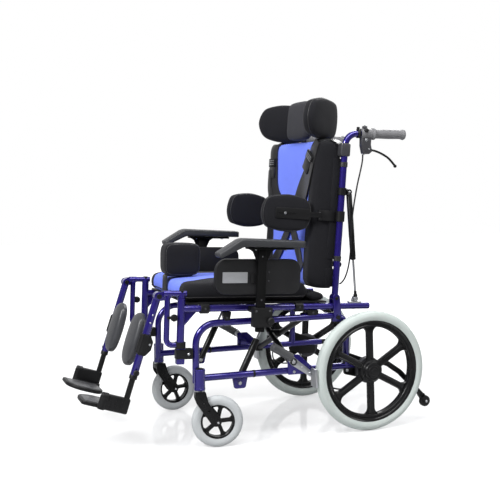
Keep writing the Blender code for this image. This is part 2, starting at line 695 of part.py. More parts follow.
def rear_wheels(parent):
    wheel, tyre = rear_wheel_mesh(), tyre_mesh()
    for side in (1, -1):
        axis = empty(side_name("rear_axle", side), parent, (side * WHEEL_X, AXLE_Y, AXLE_Z),
                     (0, 0, 0 if side > 0 else 180))
        for mesh, name, look in ((wheel, "rear_wheel", GREY_PLASTIC), (tyre, "rear_tyre", TYRE_RUBBER)):
            copy = add(name, mesh.data.copy())
            finish(copy, side_name(name, side), look, axis)
    for mesh in (wheel, tyre):
        bpy.data.objects.remove(mesh, do_unlink=True)


def caster_wheel_mesh():
    half = CASTER_TYRE_WIDTH / 2
    inner = CASTER_TYRE_INNER_R
    steps = 18
    tyre = turned([(inner - 0.003, -0.011), (0.067, -half), (0.0775, -0.0100), (CASTER_R, 0.0),
                   (0.0775, 0.0100), (0.067, half), (inner - 0.003, 0.011)], steps, (0, 0, 0), closed=True)
    disc = sheet(circle((0, 0), inner + 0.004, steps), -0.008, 0.008,
                 holes=windows(CASTER_SPOKES, 5, 0.020, 0.052, CASTER_SPOKE_WIDTH, (0.002, 0.006), 2))
    hub_half = FORK_GAP - SEAT_GAP
    hub = drum(CASTER_HUB_R, -hub_half, hub_half, (0, 0))
    return cut(join(tyre, disc, hub), bore(PIN_R + PIN_PLAY, -0.03, 0.03, (0, 0)))


def caster(side, parent, wheel):
    swivel = empty(side_name("caster_stem", side), parent, (side * CASTER_X, CASTER_Y, 0),
                   (0, 0, CASTER_TURN[side]))
    crown_low, crown_high = 0.158, LOW_RAIL_Z - HOUSING_LENGTH / 2 - SEAT_GAP
    axle = (CASTER_TRAIL, CASTER_R)
    outline = rounded([(-0.015, crown_high - 0.002), (-0.017, 0.150), (0.030, 0.066), (0.060, 0.066),
                       (0.070, 0.090), (0.030, 0.140), (0.017, crown_high - 0.002)],
                      [0.003, 0.030, 0.014, 0.010, 0.012, 0.030, 0.003])
    holes = [circle((0.012, 0.142), 0.0026, 6), circle((0.027, 0.118), 0.0026, 6)]
    arms = [sheet(outline, *sorted((e * FORK_GAP, e * (FORK_GAP + FORK_T))), holes=holes) for e in (-1, 1)]
    crown = box((2 * (FORK_GAP + FORK_T) - 0.001, 0.031, crown_high - crown_low - 0.003),
                (0, 0, (crown_low + crown_high - 0.003) / 2))
    collar = drum(0.0165, crown_high - 0.006, crown_high, (0, 0), "Z")
    stem = drum(STEM_R, crown_low, 0.238, (0, 0), "Z", 8)
    reach = FORK_GAP + FORK_T
    pin = drum(PIN_R, -reach, reach, axle, sides=8)
    heads = [drum(0.0075, *sorted((e * (reach - 0.001), e * (reach + 0.003))), axle, sides=6)
             for e in (-1, 1)]
    finish(join(*arms, crown, collar, stem, pin, *heads), side_name("caster_fork", side), BLACK_METAL,
           swivel)
    axis = empty(side_name("caster_axle", side), swivel, (0, *axle))
    finish(add("wheel", wheel.data.copy()), side_name("caster_wheel", side), TYRE_RUBBER, axis)


def tilt_spring(side, base_axes):
    """The lockable gas spring that tilts the seat; its rod's eye lies beside the seat bracket."""
    rise = Vector(seat_point(TILT_TOP)) - Vector(TILT_FOOT)
    lean = math.degrees(math.atan2(rise.x, rise.y))
    length = rise.length
    axis = empty(side_name("tilt_spring_foot", side), base_axes, (side * TILT_SPRING_X, *TILT_FOOT),
                 (-lean, 0, 0))
    span = across(side, -0.0060, 0.0065)
    eye = drum(0.0105, *span, (0, 0))
    body = drum(TILT_SPRING_R, 0.0085, TILT_BODY_TOP, (0, 0), "Z", 12)
    bores = [bore(PIN_R + PIN_PLAY, -0.02, 0.02, (0, 0)),
             drum(TILT_ROD_R + SLIDE_PLAY, TILT_ROD_FOOT - 0.006, TILT_BODY_TOP + 0.01, (0, 0), "Z", 8)]
    finish(cut(join(body, eye), *bores), side_name("tilt_cylinder", side), BLACK_METAL, axis)
    rod = drum(TILT_ROD_R, TILT_ROD_FOOT, length, (0, 0), "Z", 8)
    sleeve = drum(0.0075, length - 0.045, length - 0.004, (0, 0), "Z", 10)
    top_eye = drum(0.009, *span, (0, length))
    top_bore = bore(PIN_R + PIN_PLAY, -0.02, 0.02, (0, length))
    finish(cut(join(sleeve, rod, top_eye), top_bore), side_name("tilt_rod", side), STEEL, axis)


# Seat

def seat_point(point):
    """World (y, z) of a point in the seat frame."""
    slope = radians(SEAT_SLOPE)
    y, z = point
    return (TILT_Y + y * cos(slope) + z * sin(slope), TILT_Z - y * sin(slope) + z * cos(slope))


def seat_frame(seat):
    pieces, cutters = [], []
    for side in (1, -1):
        x = side * FRAME_X
        pieces.append(pipe([(x, HANGER_POST_Y, SEAT_RAIL_Z), (x, SEAT_RAIL_REAR_Y, SEAT_RAIL_Z)], TUBE_R))
        pieces.append(drum(HANGER_POST_R, HANGER_POST_FOOT, HANGER_POST_TOP, (x, HANGER_POST_Y), "Z"))
        square = 2 * HANGER_POST_R + 0.001
        sleeve_top = HANGER_LOW_Z - COLLAR_HEIGHT / 2 - SLIDE_PLAY
        pieces.append(box((square, square, sleeve_top - HANGER_POST_FOOT),
                          (x, HANGER_POST_Y, (sleeve_top + HANGER_POST_FOOT) / 2)))
        hook_front, hook_rear = HANGER_POST_Y - 0.014, -0.4973
        pieces.append(box((0.026, hook_rear - hook_front, 0.032),
                          (x, (hook_front + hook_rear) / 2, sleeve_top - 0.018)))
        pieces.append(sheet([(-0.530, 0.030), (-0.530, -0.022), (-0.484, 0.030)], x - 0.002, x + 0.002))
        pieces.append(sheet(capsule((0, 0), RECLINE_AXIS, 0.014, 0.012),
                            *across(side, EAR_X, EAR_X + PLATE_T)))
        pieces.append(box((0.009, 0.024, 0.016), (side * (FRAME_X + 0.0085), -0.002, SEAT_RAIL_Z)))
        pieces.append(drum(TILT_PIN_R, *across(side, FRAME_X - 0.013, EAR_X + 0.002), (0, 0), sides=10))
        pieces.append(drum(0.008, *across(side, EAR_X + PLATE_T - 0.0005, EAR_X + PLATE_T + 0.005), (0, 0),
                           sides=6))
        pieces.append(sheet(capsule((RECLINE_AXIS[0], 0.030), RECLINE_AXIS, 0.013, 0.012),
                            *across(side, FRAME_X - 0.0155, FRAME_X - 0.0115)))
        pieces.append(box((0.008, 0.022, 0.014), (side * (FRAME_X - 0.01), RECLINE_AXIS[0], SEAT_RAIL_Z)))
        pieces.append(drum(PIN_R, *across(side, FRAME_X - 0.014, EAR_X + 0.002), RECLINE_AXIS, sides=8))
        pieces.append(sheet(capsule((TILT_TOP[0] + 0.004, SEAT_RAIL_Z - 0.004), TILT_TOP, 0.012, 0.011),
                            *across(side, FRAME_X - 0.0185, FRAME_X - 0.0145)))
        pieces.append(box((0.009, 0.016, 0.010), (side * (FRAME_X - 0.012), TILT_TOP[0],
                                                  SEAT_RAIL_Z + 0.001)))
        pieces.append(sheet(capsule((RECLINE_FOOT[0] - 0.006, SEAT_RAIL_Z + 0.004), RECLINE_FOOT, 0.012,
                                    0.009),
                            *across(side, FRAME_X - 0.0085, FRAME_X - 0.0045)))
        socket_z = (SOCKET_LOW + SOCKET_HIGH) / 2
        pieces.append(box((ARM_POST_T + 0.010, 0.064, SOCKET_HIGH - SOCKET_LOW),
                          (side * ARM_X, -0.299, socket_z)))
        pieces.append(box((0.0600, 0.042, 0.018), (side * (FRAME_X + 0.04), -0.299, SEAT_RAIL_Z - 0.002)))
        pieces.append(drum(0.011, *across(side, ARM_X + 0.012, ARM_X + 0.027), (-0.276, 0.006), sides=10))
        cutters.append(box((ARM_POST_T + 2 * SLIDE_PLAY, ARM_POST_WIDTH + 2 * SLIDE_PLAY, 0.10),
                           (side * ARM_X, ARM_POST_Y, socket_z)))
        cutters.append(bore(TILT_PIN_R + PIN_PLAY, HANGER_POST_TOP - 0.042, HANGER_POST_TOP + 0.01,
                            (x, HANGER_POST_Y), "Z"))
    for y in CROSS_TUBE_Y:
        pieces.append(pipe([(-FRAME_X, y, SEAT_RAIL_Z), (FRAME_X, y, SEAT_RAIL_Z)], 0.0095))
    return finish(cut(join(*pieces), *cutters), "seat_frame", BLUE_PAINT, seat)


def seat_board(seat):
    middle_y = (BOARD_FRONT_Y + BOARD_REAR_Y) / 2
    board = box((2 * FRAME_X - BOARD_SIDE_GAP, BOARD_REAR_Y - BOARD_FRONT_Y, BOARD_T),
                (0, middle_y, BOARD_Z + BOARD_T / 2))
    clips, slots = [], []
    for side in (1, -1):
        for y in CLIP_Y:
            place = (side * FRAME_X, SEAT_RAIL_Z)
            clips.append(drum(TUBE_R + 0.0050, y - 0.014, y + 0.014, place, "Y", 8))
            slots.append(drum(TUBE_R + SEAT_GAP, y - 0.02, y + 0.02, place, "Y", 8))
            slots.append(box((0.012, 0.04, 0.02), (side * FRAME_X, y, SEAT_RAIL_Z - 0.016)))
    return finish(cut(join(board, *clips), *slots), "seat_board", BLACK_PLASTIC, seat)


def seat_cushion(seat):
    base = BOARD_Z + BOARD_T + SEAT_GAP

    def channel(place, a, b, face):
        if face > 0 and abs(a) < 0.72:
            place.z -= 0.004 * (1 - (a / 0.72) ** 2)
        return place
    cushion = pad((-SEAT_HALF_WIDTH, CUSHION_FRONT_Y, base), (SEAT_HALF_WIDTH, CUSHION_REAR_Y,
                                                              CUSHION_TOP_Z),
                  (4, 4, 0), drawn=(0.03, 0.02), crown=0.30, crowned=(1,), oval=0.06, shape=channel)
    return finish(cushion, "seat_cushion", BLUE_FABRIC, seat)


def pommel(seat):
    strap_z = CUSHION_TOP_Z - 0.0010
    block = pad((-0.040, -0.541, strap_z + 0.001), (0.040, -0.415, 0.2285), (2, 2, 1), oval=0.25,
                crown=0.10)
    front, back = CUSHION_FRONT_Y - 0.0055, BOARD_FRONT_Y - SEAT_GAP
    band = sheet([(back, BOARD_Z), (front, BOARD_Z), (front, strap_z + 0.004), (-0.440, strap_z + 0.004),
                  (-0.440, strap_z), (front + 0.004, strap_z), (front + 0.004, BOARD_Z + 0.005),
                  (back, BOARD_Z + 0.005)], -0.0225, 0.0225)
    return finish(join(block, band), "pommel", BLACK_FABRIC, seat)


def arm(side, seat):
    lift = empty(side_name("arm_lift", side), seat, (side * ARM_X, ARM_POST_Y, SOCKET_HIGH))
    post = box((ARM_POST_T, ARM_POST_WIDTH, ARM_POST_TOP + 0.002 - ARM_POST_FOOT),
               (side * ARM_X, ARM_POST_Y, (ARM_POST_TOP + 0.002 + ARM_POST_FOOT) / 2), 0.002)
    plate = box((0.036, 0.124, ARM_PLATE_T), (side * ARM_X, -0.273, ARM_POST_TOP + ARM_PLATE_T / 2))
    screws = [drum(0.005, ARM_POST_TOP - 0.003, ARM_POST_TOP + 0.001, (side * ARM_X, y), "Z", 6)
              for y in (-0.327, -0.226)]
    finish(join(post, plate, *screws), side_name("arm_post", side), BLACK_METAL, lift, "parent")
    low = ARM_POST_TOP + ARM_PLATE_T + SEAT_GAP
    top_rear, top_bend = 0.2534, 0.2607

    def bend(place, a, b, face):
        share = (place.y - ARM_PAD_REAR_Y) / (ARM_PAD_BEND_Y - ARM_PAD_REAR_Y)
        if face > 0:
            place.z += (top_bend - top_rear) * min(share, 1.0)
        elif place.y < -0.300:
            place.z += 0.0018
        if place.y < ARM_PAD_BEND_Y + 0.012:
            drop = (ARM_PAD_BEND_Y + 0.012 - place.y) / (ARM_PAD_BEND_Y + 0.012 - ARM_PAD_TIP_Y)
            place.z -= ARM_PAD_DROP * drop ** 1.2 * (1.0 if face > 0 else 0.80)
        return place
    half = ARM_PAD_WIDTH / 2
    cover = pad((side * ARM_X - half, ARM_PAD_TIP_Y, low), (side * ARM_X + half, ARM_PAD_REAR_Y, top_rear),
                (1, 6, 0), crown=0.18, crowned=(1,), oval=0.12, shape=bend, fill=False)
    finish(cover, side_name("arm_pad", side), GREY_PLASTIC, lift, "parent")
    outer = ARM_X - ARM_POST_T / 2 - SEAT_GAP
    outline = rounded([(GUARD_FRONT_Y, GUARD_LOW), (GUARD_REAR_Y, GUARD_LOW), (GUARD_REAR_Y, GUARD_HIGH),
                       (GUARD_FRONT_Y, GUARD_HIGH)], [0.034, 0.030, 0.034, 0.040], 4)
    guard = sheet(outline, *across(side, outer - GUARD_T, outer))
    soften = guard.modifiers.new("edge", "BEVEL")
    soften.width = 0.003
    soften.segments = 1
    soften.limit_method = "ANGLE"
    soften.angle_limit = radians(60)
    guard = as_mesh(guard)
    if side > 0:
        front, rear, low, high = LABEL
        label = box((LABEL_T + 0.001, rear - front, high - low),
                    (outer + (LABEL_T - 0.001) / 2, (front + rear) / 2, (low + high) / 2))
        guard = join(guard, label)
    finish(guard, side_name("side_guard", side), BLACK_PLASTIC, lift, "parent")


# Back

def clasp(side, z, height, width=0.0035):
    return drum(TUBE_R + width, z - height / 2, z + height / 2, (side * FRAME_X, 0), "Z", 10)


def back_frame(back):
    pieces, cutters = [], []
    handle_y = HANDLE_ORIGIN[0]
    lean = radians(BACK_LEAN)
    end_y = handle_y + HANDLE_TUBE_LENGTH * cos(lean)
    for side in (1, -1):
        x = side * FRAME_X
        end_z = CANE_CORNER_Z + end_y * tan(lean)
        pieces.append(pipe([(x, 0, 0), (x, 0, CANE_CORNER_Z), (x, end_y, end_z)], TUBE_R, CANE_BEND_R))
        pieces.append(drum(0.0120, *across(side, FRAME_X - 0.011, FRAME_X + 0.0108), (0, 0)))
        cutters.append(bore(PIN_R + PIN_PLAY, *across(side, FRAME_X - 0.021, FRAME_X + 0.019), (0, 0)))
        top_y, top_z = RECLINE_TOP
        pieces.append(sheet(capsule((0.0, top_z), (top_y, top_z), 0.012, 0.009),
                            *across(side, FRAME_X - 0.0135, FRAME_X - 0.01)))
        pieces.append(drum(PIN_R, *across(side, FRAME_X - 0.011, FRAME_X + 0.008), RECLINE_TOP, sides=8))
        hinge_x, hinge_y, hinge_z = THORAX_HINGE
        pieces.append(clasp(side, hinge_z, 0.034))
        pieces.append(box((0.003, -hinge_y, 0.034), (side * (FRAME_X - 0.0125), hinge_y / 2 + 0.0015,
                                                     hinge_z)))
        pieces.append(drum(0.005, hinge_z - 0.017, hinge_z - 0.009, (side * hinge_x, hinge_y), "Z", 8))
        pieces.append(drum(0.005, hinge_z + 0.009, hinge_z + 0.017, (side * hinge_x, hinge_y), "Z", 8))
        cutters.append(box((0.008, 0.018, 0.018), (side * (FRAME_X - 0.0125), hinge_y + 0.002, hinge_z)))
    for z in CROSS_BAR_Z:
        pieces.append(drum(CROSS_BAR_R, -FRAME_X, FRAME_X, (CROSS_BAR_Y, z), sides=8))
    rear = HEAD_POST_Y + HEAD_POST_T / 2 + 0.005
    front = CROSS_BAR_Y
    clamp_z = CROSS_BAR_Z[1]
    pieces.append(box((0.036, rear - front, 0.044), (0, (rear + front) / 2, clamp_z)))
    slot = box((2 * HEAD_POST_HALF + 2 * SLIDE_PLAY, HEAD_POST_T + 2 * SLIDE_PLAY, 0.10),
               (0, HEAD_POST_Y, clamp_z))
    frame = join(pieces[0], *pieces[1:])
    hinge_keep = []
    for side in (1, -1):
        hinge_x, hinge_y, hinge_z = THORAX_HINGE
        hinge_keep.append(drum(0.0025, hinge_z - 0.010, hinge_z + 0.010, (side * hinge_x, hinge_y), "Z", 8))
    frame = join(cut(frame, slot, *cutters), *hinge_keep)
    return finish(frame, "back_frame", BLUE_PAINT, back)


def cushion_front(x, z):
    """How far the back cushion's front stands forward, with bolsters at both sides."""
    edge = min(max((abs(x) - 0.07) / 0.09, 0.0), 1.0)
    return BACK_FRONT_Y + 0.014 * (1 - edge * edge * (3 - 2 * edge))


def back_cushion(back):
    def bolsters(place, a, b, face):
        if face < 0:
            place.y += cushion_front(place.x, place.z) - BACK_FRONT_Y
        return place

    cushion = pad((-SEAT_HALF_WIDTH, BACK_FRONT_Y, BACK_LOW_Z), (SEAT_HALF_WIDTH, BACK_REAR_Y, BACK_HIGH_Z),
                  (5, 4, 0), flat="Y", drawn=(0.03, 0.0), crown=0.16, crowned=(-1,), oval=0.05,
                  shape=bolsters)
    return finish(cushion, "back_cushion", BLUE_FABRIC, back)


def strap(points, cushion, steps, lift=0.0):
    """A ribbon that lies on the cushion's front along points of (x, z)."""
    route = [Vector(first).lerp(Vector(second), step / steps)
             for first, second in zip(points, points[1:]) for step in range(steps)] + [Vector(points[-1])]
    half = STRAP_WIDTH / 2
    bm = bmesh.new()
    rings = []
    for index, place in enumerate(route):
        ahead = (route[min(index + 1, len(route) - 1)] - route[max(index - 1, 0)]).normalized()
        wide = Vector((-ahead.y, ahead.x)) * half
        tall = ahead * (route[1] - route[0]).length
        faces = []
        for a in range(-4, 5):
            for b in range(-4, 5):
                spot = place + wide * a / 4 + tall * b / 4
                hit = cushion.ray_cast(Vector((spot.x, -1, spot.y)), Vector((0, 1, 0)))[0]
                if hit:
                    faces.append(hit.y)
        face = min(faces) - SEAT_GAP - lift
        ring = [(place - wide, face - STRAP_T), (place + wide, face - STRAP_T), (place + wide, face),
                (place - wide, face)]
        rings.append([bm.verts.new((spot.x, y, spot.y)) for spot, y in ring])
    for first, second in zip(rings, rings[1:]):
        for k in range(4):
            bm.faces.new((first[k], first[k - 1], second[k - 1], second[k]))
    bm.faces.new(rings[0])
    bm.faces.new(rings[-1][::-1])
    bmesh.ops.recalc_face_normals(bm, faces=bm.faces[:])
    return from_bmesh(bm)


def harness(back, cushion):
    """Two shoulder straps that meet at the chest, and two that run down to the hips."""
    front = BVHTree.FromPolygons([vert.co for vert in cushion.data.vertices],
                                 [face.vertices for face in cushion.data.polygons])
    chest, belly = Vector((0.0, 0.385)), Vector((0.0, 0.235))
    pieces = [strap([chest + Vector((0, 0.012)), belly - Vector((0, 0.012))], front, 1, 0.0019)]
    for side, lift in ((1, 0.0003), (-1, 0.0012)):
        pieces.append(strap([Vector((side * 0.160, 0.494)), chest + Vector((side * 0.002, 0))], front, 4,
                            lift))
        pieces.append(strap([Vector((side * 0.120, 0.085)), belly + Vector((side * 0.002, 0))], front, 3,
                            lift))
        pieces.append(box((0.042, 0.007, 0.030), (side * 0.085, BACK_FRONT_Y + 0.0015, 0.443),
                          turn=("Y", side * -35)))
    pieces.append(box((0.050, 0.009, 0.060), (0, BACK_FRONT_Y + 0.0005, belly.y)))
    return finish(join(*pieces), "harness", BLACK_FABRIC, back)


def push_handle(side, level):
    """The grip with the brake lever's housing clamped beside it."""
    bore_r = (TUBE_R + SEAT_GAP) / cos(math.pi / 12)
    tube_end = HANDLE_TUBE_LENGTH + 0.004
    x = side * FRAME_X
    grip = turned([(bore_r, 0.016), (0.017, 0.016), (0.017, 0.059), (0.019, 0.060), (0.019, 0.068),
                   (GRIP_R, GRIP_START), (GRIP_R, tube_end - 0.003), (0.0175, tube_end), (0.0165, GRIP_END),
                   (0.0, GRIP_END), (0.0, tube_end), (bore_r, tube_end)],
                  12, (0, 0, 0), axis="Z", closed=True)
    grip.data.transform(Matrix.Translation((x, 0, 0)) @ Matrix.Rotation(radians(-90), 4, "X"))
    pivot_y, pivot_z = LEVER_PIVOT
    body = sheet(rounded([(0.017, -0.013), (0.017, HOUSING_FOOT), (pivot_y + 0.004, HOUSING_FOOT),
                          (pivot_y + 0.011, pivot_z), (0.052, -0.013)], [0, 0.004, 0.008, 0.006, 0]),
                 x - 0.010, x + 0.010)
    knob = drum(0.007, *across(side, FRAME_X + 0.012, FRAME_X + 0.022), (0.030, 0.010), sides=8)
    body = cut(body, box((0.0100, 0.040, 0.052), (x, 0.050, -0.052)))
    pin = drum(0.003, x - 0.009, x + 0.009, LEVER_PIVOT, sides=8)
    finish(join(grip, body, knob, pin), side_name("push_handle", side), BLACK_PLASTIC, level)


def brake_lever(side, level):
    pivot_y, pivot_z = LEVER_PIVOT
    axis = empty(side_name("brake_lever_axis", side), level, (side * FRAME_X, pivot_y, pivot_z))
    blade = pipe([(0, 0.002, -0.001), (0, 0.030, -0.008), (0, 0.070, -0.026), (0, 0.104, -0.055)], LEVER_R,
                 0.06, resolution=1, steps=2)
    eye = drum(0.0075, -0.0042, 0.0042, (0, 0), sides=10)
    ball = drum(0.0058, 0.0, 0.010, (0, 0), "Z", 8)
    ball.data.transform(Matrix.Translation((0, 0.100, -0.0525)) @ Matrix.Rotation(radians(-132), 4, "X"))
    finish(cut(join(eye, blade, ball), bore(0.003 + PIN_PLAY, -0.01, 0.01, (0, 0))),
           side_name("brake_lever", side), BLACK_METAL, axis)


def brake_cable(side, back):
    outer = FRAME_X + 0.013
    lean = radians(BACK_LEAN)
    start_y, start_z = 0.0255, HOUSING_FOOT - SEAT_GAP
    route = [(FRAME_X, HANDLE_ORIGIN[0] + start_y * cos(lean) - z * sin(lean),
              HANDLE_ORIGIN[1] + start_y * sin(lean) + z * cos(lean)) for z in (start_z, start_z - 0.012)]
    route += [(outer - 0.0105, 0.0660, 0.4480), (outer - 0.0055, 0.0580, 0.4150),
              (outer - 0.0028, 0.0505, 0.3800),
              (outer - 0.0008, 0.0450, 0.3450), (outer, 0.0405, 0.3050),
             (outer, 0.0380, 0.2600), (outer, 0.0385, 0.2150), (outer, 0.0400, 0.1700),
              (outer, 0.0390, 0.1300),
             (outer, 0.0345, 0.0950), (outer - 0.0012, 0.0270, 0.0680), (outer - 0.0050, 0.0185, 0.0520),
              (outer - 0.0090, 0.0122, 0.0460)]
    cable = pipe([(side * x, y, z) for x, y, z in route], CABLE_R, resolution=1)
    finish(cable, side_name("brake_cable", side), BLACK_PLASTIC, back)


def recline_spring(side, back):
    top = Vector(RECLINE_TOP)
    slope = radians(SEAT_SLOPE)
    rise = Vector(RECLINE_FOOT) - Vector(RECLINE_AXIS)
    foot = Vector((rise.x * cos(slope) - rise.y * sin(slope), rise.x * sin(slope) + rise.y * cos(slope)))
    run = foot - top
    lean = math.degrees(math.atan2(run.x, -run.y))
    length = run.length
    axis = empty(side_name("recline_spring_top", side), back, (side * FRAME_X, *top), (lean, 0, 0))
    eye = drum(0.009, *across(side, -0.0072, 0.0060), (0, 0))
    body = drum(RECLINE_SPRING_R, RECLINE_BODY_FOOT, -0.004, (0, 0), "Z", 12)
    bores = [bore(PIN_R + PIN_PLAY, -0.02, 0.02, (0, 0)),
             drum(RECLINE_ROD_R + SLIDE_PLAY, RECLINE_BODY_FOOT - 0.01, -0.045, (0, 0), "Z", 8)]
    finish(cut(join(body, eye), *bores), side_name("recline_cylinder", side), BLACK_METAL, axis)
    rod = drum(RECLINE_ROD_R, -length, -0.110, (0, 0), "Z", 8)
    foot_eye = drum(0.008, *across(side, -0.004, 0.004), (0, -length))
    foot_bore = bore(0.0036, -0.02, 0.02, (0, -length))
    finish(cut(join(foot_eye, rod), foot_bore), side_name("recline_rod", side), STEEL, axis)


def headrest(back):
    lift = empty("headrest_lift", back, (0, HEAD_POST_Y, CROSS_BAR_Z[1]))
    half = HEAD_POST_HALF
    z = HEADREST_Z
    post = box((2 * half, HEAD_POST_T, 0.175), (0, HEAD_POST_Y, 0.5225))
    neck = box((2 * half - 0.001, 0.0750, 0.008), (0, -0.0095, z + 0.010))
    face = box((0.060, 0.003, 0.060), (0, -0.0463, z))
    wing_x, wing_y = WING_HINGE
    bar = pipe([(-wing_x + 0.012, wing_y, z), (wing_x - 0.012, wing_y, z)], 0.007)
    pieces = [post, neck, face, bar]
    for side in (1, -1):
        pieces.append(box((0.008, 0.012, 0.040), (side * (wing_x - 0.0115), wing_y, z)))
        for e in (-1, 1):
            pieces.append(box((0.014, 0.010, 0.0085), (side * (wing_x - 0.006), wing_y, z + e * 0.01575)))
            pieces.append(drum(0.0065, z + e * 0.01575 - 0.00425, z + e * 0.01575 + 0.00425,
                               (side * wing_x, wing_y), "Z", 8))
        pieces.append(drum(0.003, z - 0.014, z + 0.014, (side * wing_x, wing_y), "Z", 8))
    finish(join(*pieces), "headrest_mount", BLACK_METAL, lift, "parent")
    low, high = z - HEADREST_HEIGHT / 2, z + HEADREST_HEIGHT / 2
    rest = pad((-0.072, -0.094, low), (0.072, -0.0481, high), (3, 2, 0), flat="Y", oval=0.18, crown=0.14)
    finish(rest, "headrest_pad", BLACK_FABRIC, lift, "parent")
    for side in (1, -1):
        axis = empty(side_name("wing_axis", side), lift, (side * wing_x, wing_y - HEAD_POST_Y,
                                                          z - CROSS_BAR_Z[1]),
                     (0, 0, side * WING_TURN))
        low_x, high_x = across(side, -0.014, WING_T - 0.014)
        wing = pad((low_x, -0.014 - WING_LENGTH, -HEADREST_HEIGHT / 2),
                   (high_x, -0.014, HEADREST_HEIGHT / 2),
                   (2, 2, 0), flat="X", oval=0.55, crown=0.16)
        strap = box((0.010, 0.034, 0.0170), (0, -0.012, 0))
        knuckle = drum(0.0065, -0.0090, 0.0090, (0, 0), "Z", 10)
        hole = bore(0.003 + PIN_PLAY, -0.02, 0.02, (0, 0), "Z")
        finish(cut(join(wing, strap, knuckle), hole), side_name("headrest_wing", side), BLACK_FABRIC, axis)


def thorax_pad(side, back):
    axis = empty(side_name("thorax_axis", side), back, (side * THORAX_HINGE[0], *THORAX_HINGE[1:]),
                 (0, 0, -side * THORAX_TURN))
    thick, length, height = THORAX_SIZE
    low_x, high_x = across(side, 0.0027 - thick, 0.0027)
    cushion = pad((low_x, -0.034 - length, -height / 2), (high_x, -0.034, height / 2), (2, 2, 0), flat="X",
                  oval=0.55, crown=0.12)
    plate = sheet(rounded([(-0.150, -0.0175), (-0.034, -0.0175), (-0.034, 0.0175), (-0.150, 0.0175)], 0.006,
                          2),
                  *across(side, -0.002, 0.0052))
    link = box((0.0032, 0.050, 0.0160), (side * 0.0032, -0.024, 0))
    knuckle = drum(0.005, -0.0085, 0.0085, (0, 0), "Z", 10)
    pad_block = join(cushion, plate, link, knuckle)
    hole = bore(0.0025 + PIN_PLAY, -0.02, 0.02, (0, 0), "Z")
    finish(cut(pad_block, hole), side_name("thorax_pad", side), BLACK_FABRIC, axis)


# Leg rests

def hanger(side, seat):
    """The swing-away bracket that hangs on the front post; the leg's pivot bolt is on it."""
    x = side * FRAME_X
    axis = empty(side_name("hanger_axis", side), seat, (x, HANGER_POST_Y, 0))
    loop = pipe([(x, -0.522, HANGER_TOP_Z), (x, HANGER_FRONT_Y, HANGER_TOP_Z),
                 (x, HANGER_FRONT_Y, HANGER_LOW_Z),
                 (x, -0.551, HANGER_LOW_Z)], HANGER_TUBE_R, [0.014, 0.020])
    nose = pipe([(x, -0.570, HANGER_TOP_Z), (x, -0.5955, HANGER_TOP_Z)], HANGER_TUBE_R + 0.001)
    cap = drum(HANGER_POST_R, HANGER_POST_TOP + SEAT_GAP, HANGER_TOP_Z, (x, HANGER_POST_Y), "Z")
    pin = drum(TILT_PIN_R, HANGER_POST_TOP - 0.036, HANGER_TOP_Z - 0.002, (x, HANGER_POST_Y), "Z", 8)
    low, high = HANGER_LOW_Z - COLLAR_HEIGHT / 2, HANGER_LOW_Z + COLLAR_HEIGHT / 2
    collar = drum(0.0172, low, high, (x, HANGER_POST_Y), "Z")
    plate = sheet(capsule((-0.584, 0.078), LEG_PIVOT, 0.014, 0.014),
                  *across(side, FRAME_X + 0.0015, FRAME_X + 0.0055))
    bolt = drum(TILT_PIN_R, *across(side, FRAME_X - 0.0245, FRAME_X + 0.003), LEG_PIVOT, sides=8)
    head = drum(0.0085, *across(side, FRAME_X + 0.005, FRAME_X + 0.0102), LEG_PIVOT, sides=6)
    inner_head = drum(0.0075, *across(side, FRAME_X - 0.027, FRAME_X - 0.023), LEG_PIVOT, sides=8)
    latch = box((0.009, 0.022, 0.008), (side * (FRAME_X + 0.0075), -0.573, 0.010))
    knob = drum(0.0115, *across(side, FRAME_X + 0.007, FRAME_X + 0.019), (-0.5625, 0.010), sides=10)
    frame = join(loop, nose, cap, pin, collar, plate, bolt, head, inner_head, latch, knob)
    hole = bore(HANGER_POST_R + SEAT_GAP, low - 0.01, high + 0.01, (x, HANGER_POST_Y), "Z", 10)
    finish(cut(frame, hole), side_name("hanger", side), BLUE_PAINT, axis, "parent")
    return axis


